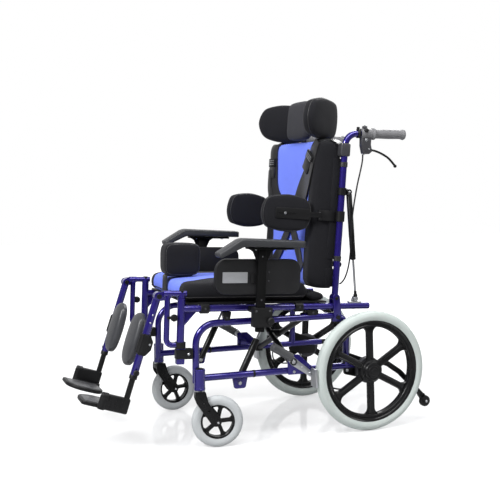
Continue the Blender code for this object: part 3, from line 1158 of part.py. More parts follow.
def leg_rest(side, hanger_axis):
    x = side * LEG_X
    leg = empty(side_name("leg_axis", side), hanger_axis,
                (-side * FRAME_X, LEG_PIVOT[0] - HANGER_POST_Y, LEG_PIVOT[1]), (-LEG_ANGLE, 0, 0))
    barrel = drum(SLEEVE_R + 0.001, *across(side, FRAME_X - 0.0225, FRAME_X + 0.001), (0, 0))
    sleeve = drum(SLEEVE_R, SLEEVE_END, -0.004, (x, 0), "Z")
    knob = drum(0.009, *across(side, LEG_X + 0.008, LEG_X + 0.026), (0.0, SLEEVE_END + 0.022), sides=8)
    pin_bore = bore(TILT_PIN_R + PIN_PLAY, *across(side, FRAME_X - 0.031, FRAME_X + 0.009), (0, 0))
    tube_bore = drum(FOOT_TUBE_R + SLIDE_PLAY, SLEEVE_END - 0.01, -0.095, (x, 0), "Z", 8)
    finish(cut(join(sleeve, barrel, knob), pin_bore, tube_bore), side_name("leg_tube", side), BLUE_PAINT,
           leg)

    slide = empty(side_name("foot_slide", side), leg, (x, 0, FOOT_TUBE_END))
    tube = drum(FOOT_TUBE_R, FOOT_TUBE_END, -0.105, (x, 0), "Z", 8)
    block = box((0.0225, 0.087, 0.050), (side * (FRAME_X - 0.0108), -0.0315, -0.3470), 0.004)
    pieces = [tube, block]
    hinge = (side * PLATE_HINGE_X, PLATE_HINGE_Z)
    barrel_low, barrel_high = -0.064, 0.001
    for low, high in ((barrel_low - 0.0103, barrel_low - 0.0003),
                      (barrel_high + 0.0003, barrel_high + 0.0103)):
        pieces.append(drum(0.0065, low, high, hinge, "Y", 8))
        pieces.append(box((0.012, high - low, 0.012), (side * (FRAME_X - 0.0235), (low + high) / 2,
                                                       PLATE_HINGE_Z + 0.0005)))
    pieces.append(drum(0.0035, barrel_low - 0.005, barrel_high + 0.005, hinge, "Y", 8))
    finish(join(*pieces), side_name("foot_tube", side), BLACK_METAL, slide, "parent")

    flip = empty(side_name("footplate_axis", side), slide, (side * PLATE_HINGE_X - x, 0,
                                                            PLATE_HINGE_Z - FOOT_TUBE_END))
    half = FOOTPLATE_T / 2
    edge, far = -0.0085, -0.008 - FOOTPLATE_WIDTH
    outline = [(edge, FOOTPLATE_TOE_Y), (edge, FOOTPLATE_HEEL_Y), (far, FOOTPLATE_HEEL_Y),
               (far, FOOTPLATE_TOE_Y)]
    outline = [Vector((side * a, b)) for a, b in outline]
    plate = sheet(rounded(outline, [0.008, 0.008, 0.022, 0.030], 3), -half, half, "Z")
    knuckle = drum(0.0062, barrel_low, barrel_high, (0, 0), "Y", 10)
    neck = box((0.010, barrel_high - barrel_low, FOOTPLATE_T),
               (-side * 0.006, (barrel_low + barrel_high) / 2, 0))
    ribs = [box((FOOTPLATE_WIDTH - 0.036, 0.004, 0.003), (-side * (0.008 + FOOTPLATE_WIDTH / 2), y,
                                                          half + 0.0008))
            for y in (-0.098, -0.060, -0.022)]
    hole = bore(0.0035 + PIN_PLAY, -0.10, 0.05, (0, 0), "Y")
    finish(cut(join(plate, knuckle, neck, *ribs), hole), side_name("footplate", side), BLACK_PLASTIC, flip)

    swing = empty(side_name("calf_axis", side), leg, (x, 0, CALF_Z))
    wide, thick, tall = CALF_SIZE
    outer = -CALF_SIDE_GAP
    low_x, high_x = across(side, outer - wide, outer)
    cushion = pad((low_x, -0.0265, -tall / 2), (high_x, thick - 0.0265, tall / 2), (2, 2, 0), flat="Y",
                  oval=0.35, crown=0.15)
    collar = drum(0.0170, -0.030, 0.030, (0, 0), "Z")
    bracket = box((0.030, 0.008, 0.050), (side * (outer + 0.006), 0.002, 0))
    hole = bore(SLEEVE_R + SEAT_GAP, -0.05, 0.05, (0, 0), "Z", 10)
    finish(cut(join(cushion, bracket, collar), hole), side_name("calf_pad", side), BLACK_FABRIC, swing)


def build():
    base = empty("base_axes")
    seat = empty("seat_tilt_axis", None, (0, TILT_Y, TILT_Z), (-SEAT_SLOPE, 0, 0))
    back = empty("recline_axis", seat, (0, *RECLINE_AXIS), (SEAT_SLOPE - BACK_LEAN, 0, 0))
    level = empty("handle_level", back, (0, *HANDLE_ORIGIN), (BACK_LEAN, 0, 0))
    caster_wheel = caster_wheel_mesh()
    for side in (1, -1):
        side_frame(side)
        anti_tip(side, base)
        wheel_lock(side, base)
        caster(side, base, caster_wheel)
        tilt_spring(side, base)
        arm(side, seat)
        push_handle(side, level)
        brake_lever(side, level)
        brake_cable(side, back)
        recline_spring(side, back)
        thorax_pad(side, back)
        leg_rest(side, hanger(side, seat))
    bpy.data.objects.remove(caster_wheel, do_unlink=True)
    rear_wheels(base)
    cross_brace()
    seat_frame(seat)
    seat_board(seat)
    seat_cushion(seat)
    pommel(seat)
    back_frame(back)
    harness(back, back_cushion(back))
    headrest(back)


build()
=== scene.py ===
import json
import math

import bmesh
import bpy
from mathutils import Matrix, Vector, noise
from mathutils.bvhtree import BVHTree


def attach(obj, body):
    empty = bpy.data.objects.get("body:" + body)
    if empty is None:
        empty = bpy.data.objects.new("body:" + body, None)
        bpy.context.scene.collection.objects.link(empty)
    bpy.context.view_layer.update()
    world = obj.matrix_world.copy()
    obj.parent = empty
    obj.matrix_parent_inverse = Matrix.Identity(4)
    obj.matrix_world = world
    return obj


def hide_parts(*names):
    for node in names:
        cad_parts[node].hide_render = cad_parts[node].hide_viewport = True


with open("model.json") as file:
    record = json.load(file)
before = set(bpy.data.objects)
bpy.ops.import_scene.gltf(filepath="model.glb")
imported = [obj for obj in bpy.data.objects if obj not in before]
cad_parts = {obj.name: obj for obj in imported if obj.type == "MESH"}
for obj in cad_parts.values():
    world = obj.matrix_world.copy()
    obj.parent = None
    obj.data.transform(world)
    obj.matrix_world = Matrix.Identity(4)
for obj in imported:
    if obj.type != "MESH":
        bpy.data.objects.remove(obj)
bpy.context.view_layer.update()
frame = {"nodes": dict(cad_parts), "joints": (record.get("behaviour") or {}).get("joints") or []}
joints = {joint["name"]: joint for joint in frame["joints"]}
print("frame loaded with", len(frame["nodes"]), "nodes")

# The camera, the floor and the light

view = {"azimuth": 68.373, "pitch": 3.647, "place": (2.7844, -1.0904, 0.8224), "lens": 62.92}
room = {"floor": (0.46, 0.463, 0.47), "sky": 1.0, "low": 0.1, "high": 0.6, "glow": 0.52, "mirror": 0.17,
        "wall": 1.0, "wallWay": (-0.9296, 0.3686, 0.0), "key": 104.0, "fill": 12.0, "rim": 34.0, "top": 72.0}


def makeCamera():
    data = bpy.data.cameras.new("camera")
    data.sensor_fit = "HORIZONTAL"
    data.sensor_width = 36.0
    data.lens = view["lens"]
    camera = bpy.data.objects.new("camera", data)
    camera.location = view["place"]
    camera.rotation_euler = (math.radians(90 - view["pitch"]), 0, math.radians(view["azimuth"]))
    bpy.context.scene.collection.objects.link(camera)
    bpy.context.scene.camera = camera


def makeLight(name, place, aim, size, power, long=0.0):
    data = bpy.data.lights.new(name, "AREA")
    data.shape = "RECTANGLE" if long else "DISK"
    data.size = long or size
    if long:
        data.size_y = size
    data.energy = power
    light = bpy.data.objects.new(name, data)
    light.location = place
    light.rotation_euler = (Vector(aim) - Vector(place)).to_track_quat("-Z", "Y").to_euler()
    bpy.context.scene.collection.objects.link(light)


def makeWorld():
    # white where the camera sees it, a soft upright gradient and one bright wall where the chair mirrors it
    world = bpy.data.worlds.new("studio")
    world.use_nodes = True
    back = world.node_tree.nodes["Background"]
    back.inputs["Color"].default_value = (1.0, 1.0, 1.0, 1.0)
    way = addNode(world, "ShaderNodeTexCoord").outputs["Generated"]
    upright = addNode(world, "ShaderNodeSeparateXYZ", {0: way}).outputs["Z"]
    height = mapped(world, upright, -0.1, 0.9, room["low"], room["high"])
    facing = addNode(world, "ShaderNodeVectorMath", {0: way, 1: room["wallWay"]}, operation="DOT_PRODUCT")
    bright = mapped(world, facing.outputs["Value"], 0.6, 0.9, 0.0, room["wall"])
    most = maths(world, "MAXIMUM", height, bright)
    rays = addNode(world, "ShaderNodeLightPath").outputs["Is Camera Ray"]
    strength = addNode(world, "ShaderNodeMix", {0: rays, 2: most, 3: room["sky"]})
    world.node_tree.links.new(strength.outputs[0], back.inputs["Strength"])
    bpy.context.scene.world = world
    bpy.context.scene.view_settings.view_transform = "Standard"


def makeRoom():
    makeWorld()
    makeLight("key", (1.2, -2.5, 2.4), (0, 0, 0.5), 1.0, room["key"])
    makeLight("fill", (1.9, 2.7, 1.7), (0, 0.1, 0.4), 0.9, room["fill"])
    makeLight("rim", (-1.6, 1.4, 2.4), (0, 0, 0.6), 1.2, room["rim"])
    makeLight("top", (1.35, 0.0, 2.9), (0, 0, 0.4), 0.9, room["top"], 3.0)
    bm = bmesh.new()
    bmesh.ops.create_grid(bm, x_segments=1, y_segments=1, size=9.0)
    floor = asObject(bm, "floor")
    floor.data.materials.append(floorFinish())


# Finishes

def newMaterial(name, colour, rough, metal=0.0, **more):
    material = bpy.data.materials.new(name)
    material.use_nodes = True
    shader = material.node_tree.nodes["Principled BSDF"]
    shader.inputs["Base Color"].default_value = (*colour, 1.0)
    shader.inputs["Roughness"].default_value = rough
    shader.inputs["Metallic"].default_value = metal
    for socket, value in more.items():
        shader.inputs[socket.replace("_", " ")].default_value = value
    return material


def addNode(material, kind, values=None, **settings):
    new = material.node_tree.nodes.new(kind)
    for key, value in settings.items():
        setattr(new, key, value)
    for socket, value in (values or {}).items():
        if isinstance(value, bpy.types.NodeSocket):
            material.node_tree.links.new(value, new.inputs[socket])
        else:
            new.inputs[socket].default_value = value
    return new


def intoShader(material, socket, output):
    shader = material.node_tree.nodes["Principled BSDF"]
    material.node_tree.links.new(output, shader.inputs[socket])


def objectPlace(material):
    return addNode(material, "ShaderNodeTexCoord").outputs["Object"]


def cloudy(material, scale, detail=4.0):
    return addNode(material, "ShaderNodeTexNoise", {"Vector": objectPlace(material), "Scale": scale,
                                                    "Detail": detail})


def addBump(material, height, strength, distance):
    bump = addNode(material, "ShaderNodeBump", {"Height": height, "Strength": strength,
                                                "Distance": distance})
    intoShader(material, "Normal", bump.outputs["Normal"])


def mixColour(material, share, first, second):
    blend = addNode(material, "ShaderNodeMix", data_type="RGBA")
    links = material.node_tree.links
    for socket, value in ((0, share), (6, first), (7, second)):
        if isinstance(value, bpy.types.NodeSocket):
            links.new(value, blend.inputs[socket])
        else:
            blend.inputs[socket].default_value = value if socket == 0 else (*value, 1.0)
    return blend.outputs[2]


def ramp(material, source, low, high, first=(0, 0, 0), second=(1, 1, 1)):
    new = addNode(material, "ShaderNodeValToRGB", {"Fac": source})
    new.color_ramp.elements[0].position = low
    new.color_ramp.elements[1].position = high
    new.color_ramp.elements[0].color = (*first, 1.0)
    new.color_ramp.elements[1].color = (*second, 1.0)
    return new.outputs["Color"]


def maths(material, kind, first, second=0.0):
    return addNode(material, "ShaderNodeMath", {0: first, 1: second}, operation=kind).outputs[0]


def mapped(material, value, start, end, low=0.0, high=1.0, kind="LINEAR"):
    return addNode(material, "ShaderNodeMapRange", {"Value": value, "From Min": start, "From Max": end,
                                                    "To Min": low, "To Max": high},
                   interpolation_type=kind).outputs[0]


def wornEdges(material, base, worn, amount):
    edge = addNode(material, "ShaderNodeNewGeometry").outputs["Pointiness"]
    share = maths(material, "MULTIPLY", ramp(material, edge, 0.56, 0.66), amount)
    return mixColour(material, share, base, worn)


def floorFinish():
    # the camera sees it shine, whiter with distance, with a faint mirror image of the chair
    material = newMaterial("floorFinish", room["floor"], 0.6, 0.0, Specular_IOR_Level=0.0,
                           Emission_Color=(1.0, 1.0, 1.0, 1.0))
    rays = addNode(material, "ShaderNodeLightPath")
    away = addNode(material, "ShaderNodeVectorMath", {0: objectPlace(material)}, operation="LENGTH")
    glow = mapped(material, away.outputs["Value"], 0.9, 2.6, room["glow"], 1.05)
    shine = maths(material, "MULTIPLY", rays.outputs["Is Camera Ray"], glow)
    intoShader(material, "Emission Strength", shine)
    spots = cloudy(material, 3.0)
    blur = ramp(material, spots.outputs["Fac"], 0.3, 0.8, (0.05,) * 3, (0.11,) * 3)
    mirror = addNode(material, "ShaderNodeBsdfPrincipled", {"Base Color": (1.0, 1.0, 1.0, 1.0),
                                                            "Metallic": 1.0, "Roughness": blur})
    nodes = material.node_tree.nodes
    base = nodes["Principled BSDF"].outputs[0]
    both = addNode(material, "ShaderNodeMixShader", {0: room["mirror"], 1: base, 2: mirror.outputs[0]})
    material.node_tree.links.new(both.outputs[0], nodes["Material Output"].inputs["Surface"])
    return material


def paintFinish(name, colour, worn, rough, metal, coat):
    material = newMaterial(name, colour, rough, metal, Coat_Weight=coat, Coat_Roughness=0.04,
                           Specular_IOR_Level=0.22)
    flakes = cloudy(material, 900.0, 2.0)
    lively = tuple(part * 1.35 + 0.001 for part in colour)
    tinted = mixColour(material, maths(material, "MULTIPLY", flakes.outputs["Fac"], 0.5), colour, lively)
    intoShader(material, "Base Color", wornEdges(material, tinted, worn, 0.35))
    addBump(material, cloudy(material, 260.0, 2.0).outputs["Fac"], 0.05, 0.0006)
    return material


def metalFinish(name, colour, rough, streak):
    material = newMaterial(name, colour, rough, 1.0)
    stretch = addNode(material, "ShaderNodeMapping", {"Vector": objectPlace(material),
                                                      "Scale": (400, 90, 1500)})
    lines = addNode(material, "ShaderNodeTexNoise", {"Vector": stretch.outputs[0], "Scale": 1.0,
                                                     "Detail": 2.0})
    uneven = ramp(material, lines.outputs["Fac"], 0.25, 0.8, (rough * 0.8,) * 3, (rough * 1.3,) * 3)
    intoShader(material, "Roughness", uneven)
    patches = cloudy(material, 60.0)
    darker = tuple(part * 0.86 for part in colour)
    share = maths(material, "MULTIPLY", patches.outputs["Fac"], 0.3)
    intoShader(material, "Base Color", mixColour(material, share, colour, darker))
    addBump(material, lines.outputs["Fac"], streak, 0.0001)
    return material


def plasticFinish(name, colour, rough, grain, shine=0.35):
    material = newMaterial(name, colour, rough, 0.0, Specular_IOR_Level=shine)
    dots = addNode(material, "ShaderNodeTexVoronoi", {"Vector": objectPlace(material), "Scale": 1100.0})
    addBump(material, dots.outputs["Distance"], grain, 0.0005)
    patches = cloudy(material, 18.0)
    lighter = tuple(part * 1.6 + 0.006 for part in colour)
    base = mixColour(material, maths(material, "MULTIPLY", patches.outputs["Fac"], 0.45), colour, lighter)
    intoShader(material, "Base Color", wornEdges(material, base, lighter, 0.6))
    uneven = ramp(material, patches.outputs["Fac"], 0.3, 0.7, (rough - 0.06,) * 3, (rough + 0.08,) * 3)
    intoShader(material, "Roughness", uneven)
    return material


def rubberFinish(name, colour, rough):
    material = newMaterial(name, colour, rough, 0.0, Specular_IOR_Level=0.3)
    dust = cloudy(material, 22.0, 6.0)
    dusty = tuple(part * 0.82 for part in colour)
    intoShader(material, "Base Color", mixColour(material, dust.outputs["Fac"], colour, dusty))
    addBump(material, cloudy(material, 420.0, 3.0).outputs["Fac"], 0.18, 0.0006)
    return material


def threadHeight(material, pitch, holes):
    place = addNode(material, "ShaderNodeMapping", {"Vector": objectPlace(material),
                                                    "Rotation": (0.6, 0.5, 0.785)})
    waves = [addNode(material, "ShaderNodeTexWave", {"Vector": place.outputs[0], "Scale": 0.314 / pitch,
                                                     "Distortion": 0.6, "Detail": 1.0}, bands_direction=way)
             for way in ("X", "Y")]
    woven = maths(material, "MULTIPLY", waves[0].outputs["Fac"], waves[1].outputs["Fac"])
    dots = addNode(material, "ShaderNodeTexVoronoi", {"Vector": objectPlace(material), "Scale": 1.0 / holes})
    pits = ramp(material, dots.outputs["Distance"], 0.08, 0.45)
    return maths(material, "MULTIPLY", woven, pits)


def clothFinish(name, colour, rough, pitch, holes, strength, sheen=0.04, panel=None):
    # with a panel, the colour fills the middle and black cloth the borders
    material = newMaterial(name, colour, rough, 0.0, Sheen_Weight=sheen, Sheen_Roughness=0.5,
                           Specular_IOR_Level=0.18)
    height = threadHeight(material, pitch, holes)
    base = colour
    if panel:
        base = mixColour(material, panelMask(material, panel), blackCloth, colour)
    fuzz = cloudy(material, 14.0, 5.0)
    share = maths(material, "MULTIPLY", fuzz.outputs["Fac"], 0.16)
    shade = mixColour(material, share, base, (0.02, 0.02, 0.03))
    # painted shade: the low parts of the weave, between the threads and in the mesh holes, are darkened
    # towards near-black
    gapShade = maths(material, "MULTIPLY", maths(material, "SUBTRACT", 1.0, height), 0.22)
    intoShader(material, "Base Color", mixColour(material, gapShade, shade, (0.006, 0.006, 0.012)))
    addBump(material, height, strength, 0.0007)
    return material


def webbingFinish(name, colour, pitch):
    material = newMaterial(name, colour, 0.36, 0.0, Specular_IOR_Level=0.62)
    ribs = addNode(material, "ShaderNodeTexWave", {"Vector": objectPlace(material), "Scale": 0.314 / pitch,
                                                   "Distortion": 0.4}, bands_direction="DIAGONAL")
    lighter = tuple(part * 1.8 + 0.004 for part in colour)
    share = maths(material, "MULTIPLY", ribs.outputs["Fac"], 0.5)
    intoShader(material, "Base Color", mixColour(material, share, colour, lighter))
    addBump(material, ribs.outputs["Fac"], 0.5, 0.0005)
    return material


blueCloth = (0.185, 0.265, 0.98)
blackCloth = (0.0042, 0.0042, 0.0048)
seatPanel = {"axis": "Y", "start": -0.13, "end": -0.27, "low": 0.088, "high": 0.15}
backPanel = {"axis": "Z", "start": 0.55, "end": 0.96, "low": 0.132, "high": 0.158}


def panelMask(material, panel):
    # one inside the panel, whose half width eases from low to high along its axis
    parts = addNode(material, "ShaderNodeSeparateXYZ", {"Vector": objectPlace(material)})
    half = mapped(material, parts.outputs[panel["axis"]], panel["start"], panel["end"],
                  panel["low"], panel["high"], "SMOOTHSTEP")
    inside = maths(material, "SUBTRACT", half, maths(material, "ABSOLUTE", parts.outputs["X"]))
    return mapped(material, inside, -0.0006, 0.0006)


finishes = {
    "bluePaint": paintFinish("bluePaint", (0.014, 0.007, 0.15), (0.06, 0.05, 0.32), 0.24, 0.5, 0.9),
    "blackPaint": paintFinish("blackPaint", (0.0035, 0.0035, 0.004), (0.05, 0.05, 0.055), 0.38, 0.1, 0.1),
    "matteBlack": plasticFinish("matteBlack", (0.0014, 0.0014, 0.0016), 0.55, 0.04, 0.1),
    "footRubber": plasticFinish("footRubber", (0.05, 0.051, 0.055), 0.34, 0.2, 0.5),
    "gunPaint": paintFinish("gunPaint", (0.045, 0.045, 0.05), (0.2, 0.2, 0.21), 0.42, 0.3, 0.2),
    "zincPlate": metalFinish("zincPlate", (0.5, 0.51, 0.53), 0.34, 0.02),
    "chromeRod": metalFinish("chromeRod", (0.52, 0.53, 0.55), 0.12, 0.02),
    "labelMetal": metalFinish("labelMetal", (0.47, 0.48, 0.5), 0.5, 0.05),
    "blackPlastic": plasticFinish("blackPlastic", (0.0045, 0.0045, 0.005), 0.42, 0.1, 0.24),
    "wheelPlastic": plasticFinish("wheelPlastic", (0.004, 0.004, 0.0045), 0.22, 0.05, 0.24),
    "guardPlastic": plasticFinish("guardPlastic", (0.009, 0.009, 0.01), 0.44, 0.2, 0.26),
    "armFoam": plasticFinish("armFoam", (0.022, 0.023, 0.026), 0.4, 0.3, 0.42),
    "gripRubber": rubberFinish("gripRubber", (0.165, 0.165, 0.172), 0.5),
    "darkRubber": rubberFinish("darkRubber", (0.016, 0.016, 0.017), 0.6),
    "greyTyre": rubberFinish("greyTyre", (0.52, 0.57, 0.55), 0.6),
    "casterTyre": rubberFinish("casterTyre", (0.47, 0.49, 0.5), 0.6),
    "calfVinyl": plasticFinish("calfVinyl", (0.032, 0.033, 0.037), 0.34, 0.16, 0.5),
    "blackCloth": clothFinish("blackCloth", blackCloth, 0.85, 0.0016, 0.0012, 0.25, 0.085),
    "greyCloth": clothFinish("greyCloth", (0.035, 0.035, 0.039), 0.85, 0.0016, 0.0012, 0.25),
    "seatCloth": clothFinish("seatCloth", blueCloth, 0.8, 0.0022, 0.003, 0.55, 0.06, seatPanel),
    "backCloth": clothFinish("backCloth", blueCloth, 0.8, 0.0022, 0.003, 0.55, 0.06, backPanel),
    "webbing": webbingFinish("webbing", (0.009, 0.009, 0.01), 0.003),
    "stitching": webbingFinish("stitching", (0.008, 0.008, 0.009), 0.0012),
}
print("finishes made:", len(finishes))

# Shapes in mesh code

toAxis = {"X": Matrix.Identity(4), "Y": Matrix.Rotation(math.pi / 2, 4, "Z"),
          "Z": Matrix.Rotation(-math.pi / 2, 4, "Y")}


def lathe(profile, axis="X", centre=(0, 0, 0), steps=32):
    # profile is (along the axis, radius)
    bm = bmesh.new()
    verts = [bm.verts.new((along, 0, radius)) for along, radius in profile]
    edges = [bm.edges.new(pair) for pair in zip(verts, verts[1:])]
    bmesh.ops.spin(bm, geom=verts + edges, cent=(0, 0, 0), axis=(1, 0, 0), angle=math.tau, steps=steps,
                   use_merge=True, use_duplicate=False)
    bmesh.ops.remove_doubles(bm, verts=bm.verts[:], dist=1e-6)
    bmesh.ops.recalc_face_normals(bm, faces=bm.faces[:])
    bmesh.ops.transform(bm, matrix=Matrix.Translation(centre) @ toAxis[axis], verts=bm.verts[:])
    return bm


def evenProfile(half):
    # a closed outline from its left half, the same on both sides of the middle
    other = [(-along, radius) for along, radius in reversed(half) if along < 0]
    return half + other + [half[0]]


def spot(centre, axis):
    # the two other coordinates of an axis, as a point
    first, second = centre
    return {"X": (0, first, second), "Y": (first, 0, second), "Z": (first, second, 0)}[axis]


def rod(radius, low, high, centre, axis="X", edge=0.0008, steps=24):
    low, high = min(low, high), max(low, high)
    return lathe([(low, 0), (low, radius - edge), (low + edge, radius), (high - edge, radius),
                  (high, radius - edge), (high, 0)], axis, spot(centre, axis), steps)


def hexHead(radius, low, high, centre, axis="X"):
    return rod(radius, low, high, centre, axis, 0.0006, 6)


def block(size, centre, edge=0.0012, turn=None, segments=2):
    bm = bmesh.new()
    bmesh.ops.create_cube(bm, size=1.0)
    bmesh.ops.scale(bm, vec=size, verts=bm.verts[:])
    if edge:
        bmesh.ops.bevel(bm, geom=bm.edges[:], offset=edge, segments=segments, profile=0.5, affect="EDGES",
                        material=-1)
    if turn:
        axis, angle = turn
        bmesh.ops.rotate(bm, verts=bm.verts[:], cent=(0, 0, 0),
                         matrix=Matrix.Rotation(math.radians(angle), 3, axis))
    bmesh.ops.translate(bm, vec=centre, verts=bm.verts[:])
    return bm


def plate(outline, low, high, axis="X", corners=0.0, edge=0.0006, steps=4, rounds=2):
    # a flat part, drawn by its corners, with rounded corners and softened rims
    bm = bmesh.new()
    verts = [bm.verts.new((0, a, b)) for a, b in outline]
    face = bm.faces.new(verts)
    sizes = corners if isinstance(corners, (list, tuple)) else [corners] * len(verts)
    for index, size in enumerate(sizes):
        if size:
            here = Vector(outline[index])
            back = Vector(outline[index - 1]) - here
            ahead = Vector(outline[(index + 1) % len(outline)]) - here
            reach = min(size / math.tan(back.angle(ahead) / 2), back.length * 0.98, ahead.length * 0.98)
            bmesh.ops.bevel(bm, geom=[verts[index]], offset=reach, segments=steps, profile=0.5,
                            affect="VERTICES", material=-1)
    low, high = min(low, high), max(low, high)
    bmesh.ops.translate(bm, vec=(low, 0, 0), verts=bm.verts[:])
    raised = bmesh.ops.extrude_face_region(bm, geom=bm.faces[:])
    tops = [v for v in raised["geom"] if isinstance(v, bmesh.types.BMVert)]
    bmesh.ops.translate(bm, vec=(high - low, 0, 0), verts=tops)
    bmesh.ops.recalc_face_normals(bm, faces=bm.faces[:])
    if edge:
        rims = [e for e in bm.edges if abs(e.verts[0].co.x - e.verts[1].co.x) < 1e-7]
        bmesh.ops.bevel(bm, geom=rims, offset=edge, segments=rounds, profile=0.5, affect="EDGES",
                        material=-1)
    order = {"X": (0, 1, 2), "Y": (1, 0, 2), "Z": (1, 2, 0)}[axis]
    for vert in bm.verts:
        vert.co = Vector([vert.co[k] for k in order])
    bmesh.ops.recalc_face_normals(bm, faces=bm.faces[:])
    return bm


def link(start, end, startR, endR, low, high, axis="X", edge=0.0006):
    # a flat link with round ends
    start, end = Vector(start), Vector(end)
    way = (end - start).normalized()
    wide = Vector((-way.y, way.x))
    corners = [start - way * startR - wide * startR, end + way * endR - wide * endR,
               end + way * endR + wide * endR, start - way * startR + wide * startR]
    return plate(corners, low, high, axis, [startR * 0.94, endR * 0.94, endR * 0.94, startR * 0.94], edge, 6)


def tube(points, radius, bends=(), sides=24, steps=8):
    # a round tube made of straight runs and spun bends
    points = [Vector(p) for p in points]
    way = (points[1] - points[0]).normalized()
    bm = bmesh.new()
    aim = Matrix.Translation(points[0]) @ way.to_track_quat("Z", "Y").to_matrix().to_4x4()
    ring = bmesh.ops.create_circle(bm, cap_ends=False, radius=radius, segments=sides, matrix=aim)["verts"]
    edges = [e for e in bm.edges if e.verts[0] in ring]
    here = points[0]
    for index in range(1, len(points)):
        way = (points[index] - points[index - 1]).normalized()
        size = bends[index - 1] if index < len(points) - 1 else 0
        angle = 0
        if size:
            after = (points[index + 1] - points[index]).normalized()
            angle = way.angle(after)
        stop = points[index] - way * size * math.tan(angle / 2)
        grown = bmesh.ops.extrude_edge_only(bm, edges=edges)["geom"]
        verts = [g for g in grown if isinstance(g, bmesh.types.BMVert)]
        edges = [g for g in grown if isinstance(g, bmesh.types.BMEdge) and all(v in verts for v in g.verts)]
        bmesh.ops.translate(bm, vec=stop - here, verts=verts)
        here = stop
        if angle:
            axis = way.cross(after).normalized()
            centre = stop + axis.cross(way) * size
            turned = bmesh.ops.spin(bm, geom=edges + verts, cent=centre, axis=axis, angle=angle, steps=steps,
                                    use_merge=False, use_duplicate=False)["geom_last"]
            edges = [g for g in turned if isinstance(g, bmesh.types.BMEdge)]
            here = points[index] + after * size * math.tan(angle / 2)
    bmesh.ops.holes_fill(bm, edges=[e for e in bm.edges if e.is_boundary], sides=0)
    bmesh.ops.recalc_face_normals(bm, faces=bm.faces[:])
    return bm


def wire(points, radius, closed=False, sides=3):
    # a thin round cord through points
    curve = bpy.data.curves.new("wire", "CURVE")
    curve.dimensions = "3D"
    spline = curve.splines.new("POLY")
    spline.points.add(len(points) - 1)
    for point, place in zip(spline.points, points):
        point.co = (*place, 1.0)
    spline.use_cyclic_u = closed
    curve.bevel_depth = radius
    curve.bevel_resolution = sides
    curve.use_fill_caps = not closed
    thing = bpy.data.objects.new("wire", curve)
    bpy.context.scene.collection.objects.link(thing)
    bm = bmesh.new()
    bm.from_mesh(thing.to_mesh())
    thing.to_mesh_clear()
    bpy.data.objects.remove(thing)
    bpy.data.curves.remove(curve)
    bmesh.ops.recalc_face_normals(bm, faces=bm.faces[:])
    return bm


def easedPath(points, count):
    # a smooth run through a few points
    points = [Vector(p) for p in points]
    path = []
    for index in range(len(points) - 1):
        p0 = points[max(index - 1, 0)]
        p1, p2 = points[index], points[index + 1]
        p3 = points[min(index + 2, len(points) - 1)]
        for step in range(count):
            t = step / count
            path.append(0.5 * ((2 * p1) + (p2 - p0) * t + (2 * p0 - 5 * p1 + 4 * p2 - p3) * t * t
                               + (3 * p1 - p0 - 3 * p2 + p3) * t ** 3))
    return path + [points[-1]]


def asObject(bm, name="work"):
    mesh = bpy.data.meshes.new(name)
    bm.to_mesh(mesh)
    bm.free()
    thing = bpy.data.objects.new(name, mesh)
    bpy.context.scene.collection.objects.link(thing)
    return thing


def baked(thing):
    # the object with its modifiers applied, as a bmesh
    graph = bpy.context.evaluated_depsgraph_get()
    bm = bmesh.new()
    bm.from_mesh(thing.evaluated_get(graph).to_mesh())
    mesh = thing.data
    bpy.data.objects.remove(thing)
    bpy.data.meshes.remove(mesh)
    return bm


def softened(bm, levels, thick=0.0):
    # subdivided, and a sheet is given its thickness
    thing = asObject(bm)
    if levels:
        smooth = thing.modifiers.new("soft", "SUBSURF")
        smooth.levels = smooth.render_levels = levels
    if thick:
        solid = thing.modifiers.new("thick", "SOLIDIFY")
        solid.thickness = thick
        solid.offset = 0.0
    return baked(thing)


def spanned(rows):
    # faces between rows of points
    bm = bmesh.new()
    rows = [[bm.verts.new(point) for point in row] for row in rows]
    for first, second in zip(rows, rows[1:]):
        for k in range(len(first) - 1):
            bm.faces.new((first[k], first[k + 1], second[k + 1], second[k]))
    return bm


def drilled(bm, *cutters):
    thing = asObject(bm)
    tools = []
    for cutter in cutters:
        tool = asObject(cutter, "tool")
        tools.append(tool)
        cut = thing.modifiers.new("cut", "BOOLEAN")
        cut.operation = "DIFFERENCE"
        cut.solver = "EXACT"
        cut.object = tool
    done = baked(thing)
    for tool in tools:
        bpy.data.objects.remove(tool)
    return done


